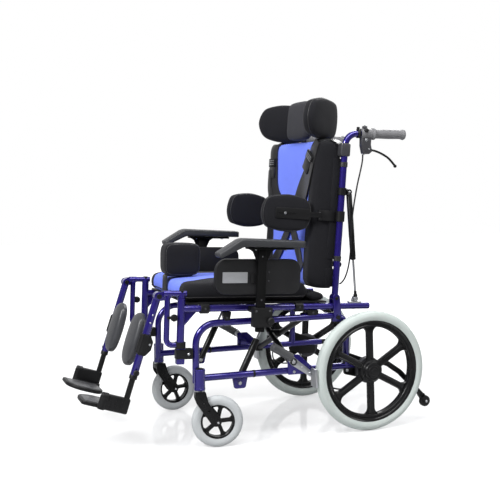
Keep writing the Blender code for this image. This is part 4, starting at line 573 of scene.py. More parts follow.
def softBlock(low, high, cuts, flat="Z", oval=0.0, drawn=(0.0, 0.0), crown=0.0, crowned=(-1, 1), shape=None,
              levels=4):
    # a stuffed form: a coarse cage with rounded corners, pulled-in sides and crowned faces
    low, high = Vector(low), Vector(high)
    thick = "XYZ".index(flat)
    across, along = [axis for axis in range(3) if axis != thick]
    bm = bmesh.new()
    bmesh.ops.create_cube(bm, size=2.0)
    for axis, count in zip((across, along, thick), cuts):
        runs = [e for e in bm.edges if abs(e.verts[0].co[axis] - e.verts[1].co[axis]) > 1e-4]
        if count:
            bmesh.ops.subdivide_edges(bm, edges=runs, cuts=count, use_grid_fill=True)
    for vert in bm.verts:
        place = vert.co.copy()
        a, b = (math.sin(place[axis] * math.pi / 2) for axis in (across, along))
        ends = oval if isinstance(oval, tuple) else (oval, oval)
        bend = ends[0] if a < 0 else ends[1]
        vert.co[across] = a * math.sqrt(1 - bend * b * b / 2) * (1 - drawn[0] * (1 - b * b))
        vert.co[along] = b * math.sqrt(1 - bend * a * a / 2) * (1 - drawn[1] * (1 - a * a))
        if (place[thick] > 0) - (place[thick] < 0) in (*crowned, 0):
            vert.co[thick] = place[thick] * (1 - crown * (1 - (1 - a ** 4) * (1 - b ** 4)))
        vert.co = (low + high) / 2 + Vector(half * part for half, part in zip((high - low) / 2, vert.co))
        if shape:
            vert.co = shape(vert.co.copy(), a, b, place[thick])
    bm = softened(bm, levels)
    for axis in range(3):
        places = [vert.co[axis] for vert in bm.verts]
        first, scale = min(places), (high[axis] - low[axis]) / (max(places) - min(places))
        for vert in bm.verts:
            vert.co[axis] = low[axis] + (vert.co[axis] - first) * scale
    return bm


def ringAt(bm, place, normal):
    # the outline where a plane cuts a closed form, as ordered points
    copy = bm.copy()
    cut = bmesh.ops.bisect_plane(copy, geom=copy.verts[:] + copy.edges[:] + copy.faces[:], plane_co=place,
                                 plane_no=normal)["geom_cut"]
    edges = {g for g in cut if isinstance(g, bmesh.types.BMEdge)}
    current = next(iter(edges))
    start = vert = current.verts[0]
    points = []
    while current:
        edges.discard(current)
        points.append(vert.co.copy())
        vert = current.other_vert(vert)
        current = next((e for e in vert.link_edges if e in edges), None)
    if (points[0] - start.co).length > 1e-9:
        points.append(start.co.copy())
    copy.free()
    return points


def onSurface(bm, points, way, lift=0.0):
    # points pushed along a direction until they meet the form
    tree = BVHTree.FromBMesh(bm)
    way = Vector(way).normalized()
    found = []
    for point in points:
        hit = tree.ray_cast(Vector(point) - way * 0.5, way)
        if hit[0]:
            found.append(hit[0] - way * lift)
    return found


def rumple(bm, amount, scale, seed):
    # faint folds, the same on each run
    bm.normal_update()
    shift = Vector((seed * 3.1, seed * 1.7, seed * 0.9))
    for vert in bm.verts:
        swell = noise.noise(vert.co * scale + shift)
        vert.co += vert.normal * swell * amount


mirrorX = Matrix.Scale(-1, 4, (1, 0, 0))


def gather(name, parts, at, mirrored):
    # several shapes with their finishes become one object at the origin
    whole = bmesh.new()
    used = []
    for bm, finish in parts:
        if finish not in used:
            used.append(finish)
        for face in bm.faces:
            face.material_index = used.index(finish)
        step = bpy.data.meshes.new("step")
        bm.to_mesh(step)
        bm.free()
        whole.from_mesh(step)
        bpy.data.meshes.remove(step)
    matrix = at or Matrix.Identity(4)
    if mirrored:
        matrix = mirrorX @ matrix
    bmesh.ops.transform(whole, matrix=matrix, verts=whole.verts[:])
    if matrix.determinant() < 0:
        bmesh.ops.reverse_faces(whole, faces=whole.faces[:])
    thing = asObject(whole, name)
    for finish in used:
        thing.data.materials.append(finishes[finish])
    thing.data.shade_smooth()
    thing.data.set_sharp_from_angle(angle=math.radians(38))
    return thing


def place(name, parts, body, nodes, slot, at=None, mirrored=False):
    thing = gather(name, parts, at, mirrored)
    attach(thing, body)
    if nodes:
        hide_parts(*nodes)
    return thing


def pair(name, make, body, node, at=None):
    # the left piece, and its mirrored twin on the right
    things = []
    for word in ("left", "right"):
        rides = body if body in ("base", "seat", "back") else f"{body}_{word}"
        things.append(place(f"{name}_{word}", make(), rides, [f"{node}_{word}"], node, at, word == "right"))
    return things


def leaning(origin, up, turn=0.0):
    # a place whose height runs along up, turned about it by some degrees
    up = Vector(up).normalized()
    rear = up.cross(Vector((1, 0, 0))).normalized()
    matrix = Matrix((Vector((1, 0, 0)), rear, up)).transposed().to_4x4()
    matrix.translation = origin
    return matrix @ Matrix.Rotation(math.radians(turn), 4, "Z")


def jointPlace(name):
    return Vector(joints[name]["pos_m"])


upAxes = {"seat": Vector(joints["arm_height_left"]["axis"]),
          "back": Vector(joints["headrest_height"]["axis"]),
          "leg": -Vector(joints["foot_length_left"]["axis"])}
seatAt = leaning(jointPlace("seat_tilt"), upAxes["seat"])
backAt = leaning(jointPlace("back_recline"), upAxes["back"])
legPivot = jointPlace("leg_elevation_left")
legAt = leaning((0, legPivot.y, legPivot.z), upAxes["leg"])
leverPivot = jointPlace("brake_lever_pull_left")
levelAt = Matrix.Translation((0, leverPivot.y - 0.045, leverPivot.z + 0.05))
tiltFoot = jointPlace("tilt_spring_turn_left")
tiltAt = leaning(tiltFoot, joints["tilt_spring_slide_left"]["axis"])
springTop = jointPlace("recline_spring_turn_left")
springAt = leaning(springTop, -Vector(joints["recline_spring_slide_left"]["axis"]))
thoraxAt = leaning(jointPlace("thorax_pad_turn_left"), upAxes["back"], -10.3)
wingAt = leaning(jointPlace("headrest_wing_turn_left"), upAxes["back"], 35.0)
calfAt = leaning(jointPlace("calf_pad_swing_left"), upAxes["leg"])
flipAt = leaning(jointPlace("footplate_flip_left"), upAxes["leg"])
wheelAxle = jointPlace("rear_wheel_spin_left").yz

makeCamera()
makeRoom()
print("camera, floor and lights made")

# Side frames, brace and anti-tip tubes

chassis = {"x": 0.216, "tube": 0.011, "postY": -0.254, "footZ": 0.2, "topZ": 0.385, "lowZ": 0.214,
           "uprightY": 0.2725, "railEndY": 0.392, "frontBend": 0.065, "rearBend": 0.045}


def restBlock(middle, topWidth, footWidth):
    low = chassis["topZ"] + 0.0066
    lean = math.radians(2)
    tops = []
    for y in (middle + topWidth / 2, middle - topWidth / 2):
        tops.append((y, 0.381 + (0.2345 - y) * math.tan(lean) + (0.0356 - 0.011) / math.cos(lean) - 0.0003))
    outline = [(middle - footWidth / 2, low), (middle + footWidth / 2, low), *tops]
    return plate(outline, 0.2065, 0.2255, "X", 0.0015, 0.001)


def sideFrame():
    c = chassis
    x, y, z = c["x"], c["postY"], c["lowZ"]
    caster = jointPlace("caster_swivel_left")
    axle = wheelAxle
    lock = jointPlace("wheel_lock_turn_left")
    foot = (tiltFoot.y, tiltFoot.z)
    parts = [
        (tube([(x, y, c["footZ"]), (x, y, c["topZ"]), (x, c["uprightY"], c["topZ"]), (x, c["uprightY"], z)],
              c["tube"], [c["frontBend"], c["rearBend"]]), "bluePaint"),
        (tube([(x, y, z), (x, c["railEndY"], z)], c["tube"]), "bluePaint"),
        (lathe([(0.181, 0.0), (0.181, 0.0168), (0.1822, 0.018), (0.188, 0.018), (0.1885, 0.0175),
                (0.24, 0.0175), (0.2405, 0.018), (0.2458, 0.018), (0.247, 0.0168), (0.247, 0.0)], "Z",
               (caster.x, caster.y, 0)), "bluePaint"),
        (lathe([(0.2465, 0.0), (0.2465, 0.0125), (0.248, 0.0125), (0.2492, 0.0105), (0.2492, 0.0)], "Z",
               (caster.x, caster.y, 0)), "blackPlastic"),
        (plate([(0.0625, z), (0.1315, z), (0.0625, 0.2437)], x - 0.002, x + 0.002, "X", 0.002), "bluePaint"),
        (plate([(foot[0] - 0.026, z - 0.004), (foot[0] - 0.018, foot[1] - 0.018),
                (foot[0] + 0.02, foot[1] - 0.018),
                (foot[0] + 0.029, z - 0.004)], 0.2035, 0.2095, "X", [0, 0.008, 0.008, 0]), "bluePaint"),
        (rod(0.004, 0.182, 0.206, foot), "zincPlate"),
        (hexHead(0.0066, 0.1805, 0.1832, foot), "zincPlate"),
        (hexHead(0.0066, 0.209, 0.2135, foot), "zincPlate"),
        (restBlock(-0.1525, 0.029, 0.018), "blackPlastic"),
        (restBlock(0.1465, 0.04, 0.036), "blackPlastic"),
        (block((0.02, 0.03, 0.03), (x, 0.2345, 0.381), 0.002), "bluePaint"),
        (plate([(0.2605, 0.188), (0.3205, 0.172), (0.3705, 0.172), (0.3705, 0.224), (0.2865, 0.256),
                (0.2605, 0.256)], 0.2195, 0.224, "X", 0.01), "blackPaint"),
        (rod(0.02, 0.2235, 0.2279, axle), "zincPlate"),
        (lathe([(0.2274, 0.0), (0.2274, 0.034), (0.2278, 0.0405), (0.229, 0.042), (0.2296, 0.042),
                (0.2296, 0.0)], "X", (0, *axle), 48), "gunPaint"),
        (rod(0.006, 0.2225, 0.277, axle), "zincPlate"),
        (plate([(lock.y - 0.018, 0.203), (lock.y + 0.072, 0.203), (lock.y + 0.072, 0.222),
                (lock.y + 0.02, lock.z + 0.022), (lock.y - 0.018, lock.z + 0.022)], 0.2275, 0.2315, "X",
               0.006), "bluePaint"),
        (block((0.008, 0.07, 0.016), (0.2248, lock.y + 0.027, z), 0.001), "bluePaint"),
        (rod(0.004, 0.23, 0.2385, (lock.y, lock.z)), "zincPlate"),
        (rod(0.007, 0.2375, 0.24, (lock.y, lock.z)), "zincPlate"),
    ]
    for by, bz in ((0.2725, 0.24), (0.2725, 0.2), (0.35, 0.214)):
        parts.append((hexHead(0.0055, 0.2236, 0.2268, (by, bz)), "zincPlate"))
    for by in (lock.y + 0.004, lock.y + 0.056):
        parts.append((hexHead(0.005, 0.2312, 0.2345, (by, 0.212)), "zincPlate"))
    for middle in (-0.1525, 0.1465):
        parts.append((rod(0.0035, 0.2252, 0.2268, (middle, 0.4)), "gunPaint"))
    cable = easedPath([(0.2282, 0.3125, 0.166), (0.2282, 0.2905, 0.143), (0.2274, 0.26, 0.1385),
                       (0.2255, 0.233, 0.141), (0.221, 0.205, 0.152), (0.218, 0.1925, 0.17),
                       (0.2165, 0.1925, 0.206)], 6)
    parts.append((wire(cable, 0.0026), "blackPlastic"))
    parts.append((tube([(0.2282, 0.3165, 0.17), (0.2282, 0.3085, 0.162)], 0.0036), "zincPlate"))
    for y in (0.105, -0.06):
        parts.append((lathe([(-0.004, 0.0113), (-0.003, 0.0118), (0.003, 0.0118), (0.004, 0.0113)], "Y",
                            (x, y, z)), "blackPlastic"))
    return parts


def crossBrace():
    parts = []
    low, high = chassis["lowZ"], chassis["topZ"]
    lugX = chassis["x"] - chassis["tube"] - 0.0003 - 0.00725
    for side, y in ((1, 0.0925), (-1, 0.1275)):
        parts.append((tube([(side * lugX, y, low), (-side * lugX, y, high)], 0.01), "blackPaint"))
        for lx, lz in ((side * lugX, low), (-side * lugX, high)):
            parts.append((block((0.0145, 0.026, 0.026), (lx, y, lz), 0.002), "blackPlastic"))
            parts.append((hexHead(0.005, y - 0.0155, y + 0.0155, (lx, lz), "Y"), "zincPlate"))
    middle = (0, (low + high) / 2)
    parts.append((rod(0.013, 0.0925, 0.1275, middle, "Y"), "blackPaint"))
    parts.append((hexHead(0.006, 0.0775, 0.1425, middle, "Y"), "zincPlate"))
    return parts


def antiTip():
    x = chassis["x"]
    axle = jointPlace("anti_tip_spin_left")
    end = Vector((0.5656, 0.0924))
    way = (Vector((axle.y, axle.z)) - end).normalized()
    bridge = Vector((axle.y, axle.z)) - way * 0.0255
    angle = math.degrees(math.atan2(way.y, way.x))
    parts = [(tube([(x, 0.3923, 0.214), (x, 0.424, 0.214), (x, 0.479, 0.177), (x, *end)], 0.0095,
                   [0.05, 0.05]), "blackPaint"),
             (block((0.0256, 0.01, 0.018), (x, *bridge), 0.002, ("X", angle)), "blackPlastic"),
             (rod(0.003, x - 0.0108, x + 0.0108, (axle.y, axle.z)), "zincPlate")]
    for e in (-1, 1):
        low, high = x + e * 0.0098, x + e * 0.0128
        parts.append((link(bridge, (axle.y, axle.z), 0.008, 0.007, low, high), "blackPlastic"))
        parts.append((hexHead(0.0045, x + e * 0.012, x + e * 0.0145, (axle.y, axle.z)), "zincPlate"))
    return parts


def antiTipWheel():
    axle = jointPlace("anti_tip_spin_left")
    profile = evenProfile([(-0.009, 0.0034), (-0.009, 0.0115), (-0.0075, 0.0125), (-0.0085, 0.0145),
                           (-0.008, 0.016), (-0.0055, 0.019), (-0.002, 0.0195), (-0.0012, 0.0188)])
    return [(lathe(profile, "X", axle, 40), "darkRubber")]


pair("sideFrame", sideFrame, "base", "side_frame")
place("crossBrace", crossBrace(), "base", ["cross_brace"], "cross_brace")
pair("antiTipTube", antiTip, "base", "anti_tip_tube")
pair("antiTipWheel", antiTipWheel, "anti_tip_wheel", "anti_tip_wheel")
print("chassis made")

# Wheels

bigWheel = {"spokes": 6, "phase": 92.0, "rimInner": 0.148, "rimOuter": 0.1697, "treads": 150}


def spoke(width, thick, inner, outer, flare, angle, edge=0.003, groove=0.0022):
    half = width / 2
    outline = [(inner, -half), (outer - flare, -half), (outer - flare * 0.35, -half - flare * 0.22),
               (outer, -half - flare * 0.95), (outer + 0.004, -half - flare), (outer + 0.004, half + flare),
               (outer, half + flare * 0.95), (outer - flare * 0.35, half + flare * 0.22),
               (outer - flare, half), (inner, half)]
    bm = plate(outline, -thick / 2, thick / 2, "X", [0, 0.03, 0.02, 0, 0, 0, 0, 0.02, 0.03, 0], edge)
    for way in (-1, 1):
        top = max(bm.faces, key=lambda f: f.normal.x * way * f.calc_area())
        bmesh.ops.inset_region(bm, faces=[top], thickness=0.0032, depth=0.0)
        bmesh.ops.translate(bm, vec=(-way * groove, 0, 0), verts=top.verts[:])
    turn = Matrix.Rotation(math.radians(angle), 3, "X")
    bmesh.ops.rotate(bm, verts=bm.verts[:], cent=(0, 0, 0), matrix=turn)
    return bm


def rearWheel():
    w = bigWheel
    inner = w["rimInner"]
    rim = evenProfile([(-0.015, w["rimOuter"]), (-0.0125, 0.164), (-0.0095, 0.1615), (-0.0095, 0.157),
                       (-0.012, 0.1545), (-0.012, inner + 0.0015), (-0.0105, inner),
                       (-0.007, inner - 0.0005),
                       (-0.005, inner + 0.001)])
    parts = [(lathe(rim, steps=96), "wheelPlastic")]
    for index in range(w["spokes"]):
        parts.append((spoke(0.023, 0.016, 0.02, 0.147, 0.018, w["phase"] + 60 * index), "wheelPlastic"))
    hub = [(0.006, 0.0), (0.006, 0.04), (0.0075, 0.041), (0.0095, 0.04), (0.0105, 0.0345), (0.0125, 0.0325),
           (0.0215, 0.031), (0.0244, 0.0285), (0.0244, 0.0)]
    parts.append((lathe(hub, steps=64), "wheelPlastic"))
    cap = [(0.024, 0.0), (0.024, 0.02), (0.0255, 0.0205), (0.0275, 0.0195), (0.0285, 0.016), (0.029, 0.012),
           (0.031, 0.0112), (0.032, 0.009), (0.032, 0.0)]
    parts.append((lathe(cap, steps=48), "blackPlastic"))
    brake = [(-0.0257, 0.0), (-0.0257, 0.0425), (-0.0245, 0.0445), (-0.021, 0.0445), (-0.0205, 0.043),
             (-0.016, 0.043), (-0.0155, 0.0445), (-0.011, 0.0445), (-0.0075, 0.0425), (-0.0075, 0.0)]
    parts.append((lathe(brake, steps=56), "gunPaint"))
    return parts


def rearTyre():
    profile = evenProfile([(-0.015, 0.17), (-0.0165, 0.1745), (-0.0178, 0.18), (-0.018, 0.1835),
                           (-0.0172, 0.188), (-0.015, 0.1926), (-0.0118, 0.1958), (-0.0075, 0.198),
                           (-0.003, 0.1988), (0.0, 0.1989)])
    ribs = bmesh.new()
    section = [(-0.0026, -0.001), (-0.002, 0.0011), (0.002, 0.0011), (0.0026, -0.001)]
    for index in range(bigWheel["treads"]):
        turn = Matrix.Rotation(math.tau * index / bigWheel["treads"], 3, "X")
        rows = [[ribs.verts.new(turn @ Vector((along, wide, radius + lift))) for wide, lift in section]
                for along, radius in profile[5:14:2]]
        for first, second in zip(rows, rows[1:]):
            for k in range(4):
                ribs.faces.new((first[k], first[(k + 1) % 4], second[(k + 1) % 4], second[k]))
        ribs.faces.new(rows[0])
        ribs.faces.new(rows[-1])
    bmesh.ops.recalc_face_normals(ribs, faces=ribs.faces[:])
    return [(lathe(profile, steps=120), "greyTyre"), (ribs, "greyTyre")]


for word, side in (("left", 1), ("right", -1)):
    axlePlace = Matrix.Translation(jointPlace("rear_wheel_spin_" + word))
    wheelAt = axlePlace if side > 0 else axlePlace @ Matrix.Rotation(math.pi, 4, "Z")
    place("rearWheel_" + word, rearWheel(), "wheel_" + word, ["rear_wheel_" + word], "rear_wheel", wheelAt)
    place("rearTyre_" + word, rearTyre(), "wheel_" + word, ["rear_tyre_" + word], "rear_tyre", wheelAt)

smallWheel = {"spokes": 5, "phase": 5.0}


def casterWheel():
    s = smallWheel
    profile = evenProfile([(-0.011, 0.05), (-0.0128, 0.0545), (-0.0145, 0.061), (-0.015, 0.067),
                           (-0.0142, 0.0722), (-0.0118, 0.0768), (-0.0078, 0.0798), (-0.003, 0.0809),
                           (0.0, 0.081)])
    parts = [(lathe(profile, steps=80), "casterTyre")]
    rim = evenProfile([(-0.0128, 0.0538), (-0.0122, 0.0515), (-0.01, 0.048), (-0.009, 0.047),
                       (-0.004, 0.0478)])
    parts.append((lathe(rim, steps=72), "wheelPlastic"))
    for index in range(s["spokes"]):
        parts.append((spoke(0.012, 0.013, 0.01, 0.0465, 0.008, s["phase"] + 72 * index, 0.0018, 0.0012),
                      "wheelPlastic"))
    hub = [(-0.0182, 0.0), (-0.0182, 0.01), (-0.017, 0.0115), (-0.0085, 0.0138), (0.0085, 0.0138),
           (0.017, 0.0115), (0.0182, 0.01), (0.0182, 0.0)]
    parts.append((lathe(hub, steps=40), "wheelPlastic"))
    return parts


def casterFork():
    low, high = 0.158, 0.1807
    outline = [(-0.015, high - 0.002), (-0.0165, 0.15), (0.04, 0.0685), (0.0625, 0.0685), (0.069, 0.088),
               (0.027, 0.142), (0.017, high - 0.002)]
    corners = [0.003, 0.03, 0.012, 0.009, 0.011, 0.03, 0.003]
    axle = (0.0556, 0.081)
    parts = []
    for e in (-1, 1):
        arm = plate(outline, e * 0.0185, e * 0.0235, "X", corners, 0.001, 5)
        ridge = link((0.0, 0.158), (0.04, 0.098), 0.0055, 0.005, e * 0.023, e * 0.0243, "X", 0.0006)
        for piece in (arm, ridge):
            holes = [rod(0.0028, e * 0.015, e * 0.027, at, "X", 0.0002, 16)
                     for at in ((0.012, 0.142), (0.027, 0.118))]
            parts.append((drilled(piece, *holes), "blackPaint"))
        parts.append((hexHead(0.0072, e * 0.0232, e * 0.0268, axle), "blackPaint"))
        parts.append((rod(0.0034, e * 0.026, e * 0.0275, axle), "zincPlate"))
    parts.append((block((0.046, 0.031, high - low - 0.003), (0, 0, (low + high - 0.003) / 2), 0.003),
                  "blackPaint"))
    parts.append((rod(0.017, high - 0.0055, high, (0, 0), "Z"), "zincPlate"))
    parts.append((rod(0.0065, low, 0.238, (0, 0), "Z"), "zincPlate"))
    parts.append((rod(0.004, -0.0235, 0.0235, axle), "zincPlate"))
    return parts


for word in ("left", "right"):
    stem = jointPlace("caster_swivel_" + word)
    axle = jointPlace("caster_spin_" + word)
    turned = Matrix.Rotation(-math.atan2(axle.x - stem.x, axle.y - stem.y), 4, "Z")
    place("casterFork_" + word, casterFork(), "caster_fork_" + word, ["caster_fork_" + word], "caster_fork",
          Matrix.Translation((stem.x, stem.y, 0)) @ turned)
    place("casterWheel_" + word, casterWheel(), "caster_wheel_" + word, ["caster_wheel_" + word],
          "caster_wheel", Matrix.Translation(axle) @ turned)


def wheelLock():
    pivot = jointPlace("wheel_lock_turn_left")
    y, z = pivot.y, pivot.z
    x = 0.232
    out = Vector((math.cos(math.radians(182.5)), math.sin(math.radians(182.5))))
    along = Vector((out.y, -out.x))
    middle = wheelAxle + out * (0.2 + 0.001 + 0.0035)
    halfT, halfL = out * 0.0035, along * 0.03
    shoe = plate([middle + halfT + halfL, middle + halfT - halfL, middle - halfT - halfL,
                  middle - halfT + halfL],
                 x + 0.0005, 0.2706, "X", 0.001, 0.0008)
    gripX = x + 0.0145
    start, end = Vector((gripX, y - 0.01, z + 0.0155)), Vector((gripX, y - 0.081, z + 0.0578))
    way = (end - start).normalized()
    size = (end - start).length
    grip = lathe([(0.0, 0.0), (0.0, 0.0105), (0.0015, 0.012), (0.006, 0.014), (0.012, 0.0128),
                  (0.018, 0.014), (0.024, 0.0128), (0.03, 0.014), (0.036, 0.0128), (0.042, 0.014),
                  (0.048, 0.013), (0.06, 0.014), (size - 0.004, 0.0138), (size - 0.001, 0.011), (size, 0.0)],
                 "Z", (0, 0, 0), 32)
    turn = Matrix.Translation(start) @ way.to_track_quat("Z", "Y").to_matrix().to_4x4()
    bmesh.ops.transform(grip, matrix=turn, verts=grip.verts[:])
    return [
        (link((y, z), (y - 0.016, z + 0.02), 0.013, 0.01, x, x + 0.005), "zincPlate"),
        (link((y, z), (y + 0.064, z - 0.046), 0.013, 0.008, x, x + 0.005), "zincPlate"),
        (shoe, "zincPlate"),
        (grip, "footRubber"),
        (hexHead(0.0046, x + 0.0046, x + 0.0082, (y + 0.03, z - 0.0215)), "zincPlate"),
        (hexHead(0.0046, x + 0.0046, x + 0.0082, (y + 0.058, z - 0.0415)), "zincPlate"),
    ]


pair("wheelLock", wheelLock, "wheel_lock", "wheel_lock")
print("wheels and locks made")

# Gas springs

tiltSpring = {"radius": 0.011, "bodyTop": 0.15, "rod": 0.004}


def tiltCylinder():
    t = tiltSpring
    return [
        (lathe([(0.0085, 0.0), (0.0085, 0.0095), (0.01, t["radius"]), (0.144, t["radius"]), (0.1455, 0.0102),
                (0.1485, 0.0102), (t["bodyTop"], 0.009), (t["bodyTop"], 0.0046)], "Z"), "blackPaint"),
        (rod(0.0105, -0.006, 0.0065, (0, 0)), "blackPlastic"),
    ]


def tiltRod():
    t = tiltSpring
    length = (Vector(seatAt @ Vector((0, -0.2289, 0.021))) - Vector((0, tiltFoot.y, tiltFoot.z))).length
    return [
        (rod(t["rod"], 0.03, length, (0, 0), "Z"), "chromeRod"),
        (lathe([(length - 0.045, 0.0), (length - 0.045, 0.0062), (length - 0.043, 0.0075),
                (length - 0.03, 0.0075), (length - 0.029, 0.0068), (length - 0.018, 0.0068),
                (length - 0.017, 0.0075), (length - 0.004, 0.0075), (length - 0.004, 0.0)], "Z"),
         "blackPlastic"),
        (rod(0.009, -0.006, 0.0065, (0, length)), "blackPlastic"),
    ]


def reclineCylinder():
    return [
        (lathe([(-0.2255, 0.004), (-0.2255, 0.008), (-0.224, 0.0092), (-0.218, 0.0092), (-0.2172, 0.0088),
                (-0.215, 0.0088), (-0.2142, 0.0095), (-0.008, 0.0095), (-0.004, 0.007), (-0.004, 0.0)], "Z"),
         "blackPaint"),
        (rod(0.009, -0.0072, 0.006, (0, 0)), "blackPlastic"),
        (rod(0.0045, -0.0076, -0.007, (0, 0)), "zincPlate"),
    ]


def reclineRod():
    foot = Vector(seatAt @ Vector((0, 0.071, 0.0595)))
    length = (foot - Vector((0, springTop.y, springTop.z))).length
    return [
        (rod(0.0035, -length, -0.11, (0, 0), "Z"), "chromeRod"),
        (lathe([(-length + 0.006, 0.0), (-length + 0.006, 0.006), (-length + 0.01, 0.0068),
                (-length + 0.014, 0.0068), (-length + 0.015, 0.005), (-length + 0.026, 0.0046),
                (-length + 0.027, 0.0)], "Z"), "blackPlastic"),
        (rod(0.008, -0.004, 0.004, (0, -length)), "zincPlate"),
    ]


pair("tiltCylinder", tiltCylinder, "tilt_cylinder", "tilt_cylinder", tiltAt)
pair("tiltRod", tiltRod, "tilt_rod", "tilt_rod", tiltAt)
pair("reclineCylinder", reclineCylinder, "recline_cylinder", "recline_cylinder", springAt)
pair("reclineRod", reclineRod, "recline_rod", "recline_rod", springAt)
print("gas springs made")

# Seat: frame, board, cushion, pommel

seatTube = {"x": 0.216, "radius": 0.011, "railZ": 0.0356, "railEnd": 0.1195, "postY": -0.5368,
            "postR": 0.012, "postTop": 0.069, "postFoot": -0.1357, "crossY": (-0.43, -0.07),
            "clipY": (-0.462, -0.14)}


def seatFrame():
    s = seatTube
    x, y, z = s["x"], s["postY"], s["railZ"]
    sleeveTop = -0.0763 - 0.0092 - 0.0005
    backPin, tiltPin, springPin = (-0.0077, 0.0638), (-0.2289, 0.021), (0.071, 0.0595)
    knob = [(0.0, 0.0), (0.0, 0.0065), (0.003, 0.0105), (0.007, 0.011), (0.012, 0.011), (0.0145, 0.0085),
            (0.015, 0.0)]
    parts = []
    for side in (1, -1):
        parts += [
            (tube([(side * x, y, z), (side * x, s["railEnd"], z)], s["radius"]), "bluePaint"),
            (rod(0.0095, s["railEnd"] - 0.002, s["railEnd"] + 0.0012, (side * x, z), "Y", 0.001),
             "blackPlastic"),
            (rod(s["postR"], s["postFoot"], s["postTop"], (side * x, y), "Z"), "bluePaint"),
            (block((0.025, 0.025, sleeveTop - s["postFoot"]), (side * x, y, (sleeveTop + s["postFoot"]) / 2),
                   0.002), "bluePaint"),
            (block((0.026, 0.0535, 0.032), (side * x, -0.52405, sleeveTop - 0.018), 0.002), "blackPlastic"),
            (rod(0.004, side * 0.2285, side * 0.2315, (-0.512, sleeveTop - 0.018)), "zincPlate"),
            (plate([(-0.53, 0.03), (-0.53, -0.022), (-0.484, 0.03)], side * x - 0.002, side * x + 0.002, "X",
                   [0, 0.004, 0.004]), "bluePaint"),
            (link((0, 0), backPin, 0.014, 0.012, side * 0.2275, side * 0.2315), "bluePaint"),
            (block((0.009, 0.024, 0.016), (side * 0.2245, -0.002, z), 0.001), "bluePaint"),
            (rod(0.005, side * 0.203, side * 0.2295, (0, 0)), "zincPlate"),
            (hexHead(0.008, side * 0.231, side * 0.2365, (0, 0)), "blackPaint"),
            (link((-0.0077, 0.03), backPin, 0.013, 0.012, side * 0.2005, side * 0.2045), "bluePaint"),
            (block((0.008, 0.022, 0.014), (side * 0.206, -0.0077, z), 0.001), "bluePaint"),
            (rod(0.004, side * 0.202, side * 0.2295, backPin), "zincPlate"),
            (hexHead(0.0065, side * 0.2312, side * 0.235, backPin), "blackPaint"),
            (link((-0.2249, 0.0316), tiltPin, 0.012, 0.011, side * 0.1975, side * 0.2015), "bluePaint"),
            (block((0.009, 0.016, 0.01), (side * 0.204, -0.2289, z + 0.001), 0.001), "bluePaint"),
            (link((0.067, z + 0.002), springPin, 0.015, 0.0095, side * 0.2075, side * 0.2115), "zincPlate"),
            (block((0.016, 0.046, 0.006), (side * 0.2135, 0.068, z + 0.012), 0.0012), "zincPlate"),
            (block((0.026, 0.064, 0.061), (side * 0.294, -0.299, 0.016), 0.003), "blackPlastic"),
            (block((0.06, 0.042, 0.018), (side * 0.256, -0.299, z - 0.002), 0.003), "blackPlastic"),
            (lathe([(side * along, radius) for along, radius in knob], "X", (side * 0.306, -0.276, 0.006),
                   10), "blackPlastic"),
        ]
        for boltY in (-0.322, -0.276):
            parts.append((rod(0.0034, side * 0.3065, side * 0.3082, (boltY, 0.036)), "gunPaint"))
    for crossY in s["crossY"]:
        parts.append((tube([(-x, crossY, z), (x, crossY, z)], 0.0095), "bluePaint"))
    return parts


def seatBoard():
    parts = [(block((0.427, 0.48, 0.006), (0, -0.275, 0.05), 0.0015), "blackPlastic")]
    for side in (1, -1):
        for y in seatTube["clipY"]:
            ring = [(y - 0.014, 0.0114), (y - 0.014, 0.015), (y - 0.013, 0.016), (y + 0.013, 0.016),
                    (y + 0.014, 0.015), (y + 0.014, 0.0114), (y - 0.014, 0.0114)]
            parts.append((lathe(ring, "Y", (side * seatTube["x"], 0, seatTube["railZ"]), 32),
                          "blackPlastic"))
            parts.append((rod(0.0034, side * 0.23, side * 0.2325, (y, seatTube["railZ"])), "gunPaint"))
    lip = softBlock((-0.21, -0.096, 0.0532), (0.21, -0.04, 0.082), (4, 1, 0), crown=0.35, crowned=(1,),
                    levels=3)
    parts.append((lip, "blackCloth"))
    return parts


place("seatFrame", seatFrame(), "seat", ["seat_frame"], "seat_frame", seatAt)
place("seatBoard", seatBoard(), "seat", ["seat_board"], "seat_board", seatAt)

cushions = {"halfWidth": 0.2, "frontY": -0.525, "rearY": -0.0985, "baseZ": 0.0533, "topZ": 0.119}


def panelSeams(bm, panel, at, points, way):
    # stitched lines where the blue panel meets the black borders
    seams = []
    for side in (1, -1):
        line = []
        for point in points:
            level = (at @ Vector(point))["XYZ".index(panel["axis"])]
            share = min(max((level - panel["start"]) / (panel["end"] - panel["start"]), 0), 1)
            share = share * share * (3 - 2 * share)
            line.append((side * (panel["low"] + (panel["high"] - panel["low"]) * share), point[1], point[2]))
        seams.append((wire(onSurface(bm, line, way, 0.0002), 0.0013), "stitching"))
    return seams


def spread(low, high, count):
    return [low + (high - low) * step / (count - 1) for step in range(count)]


def seatCushion():
    c = cushions

    def channel(at, a, b, face):
        if face > 0 and abs(a) < 0.72:
            at.z -= 0.004 * (1 - (a / 0.72) ** 2)
        return at
    bm = softBlock((-c["halfWidth"], c["frontY"], c["baseZ"]), (c["halfWidth"], c["rearY"], c["topZ"]),
                   (4, 4, 0), drawn=(0.03, 0.02), crown=0.3, crowned=(1,), oval=0.06, shape=channel)
    rumple(bm, 0.0016, 16.0, 1)
    points = [(0, y, c["topZ"]) for y in spread(c["frontY"] + 0.006, c["rearY"] - 0.006, 60)]
    seams = panelSeams(bm, seatPanel, seatAt, points, (0, 0, -1))
    ring = ringAt(bm, (0, 0, c["baseZ"] + 0.014), (0, 0, 1))
    return [(bm, "seatCloth"), *seams, (wire(ring, 0.002, True), "stitching")]


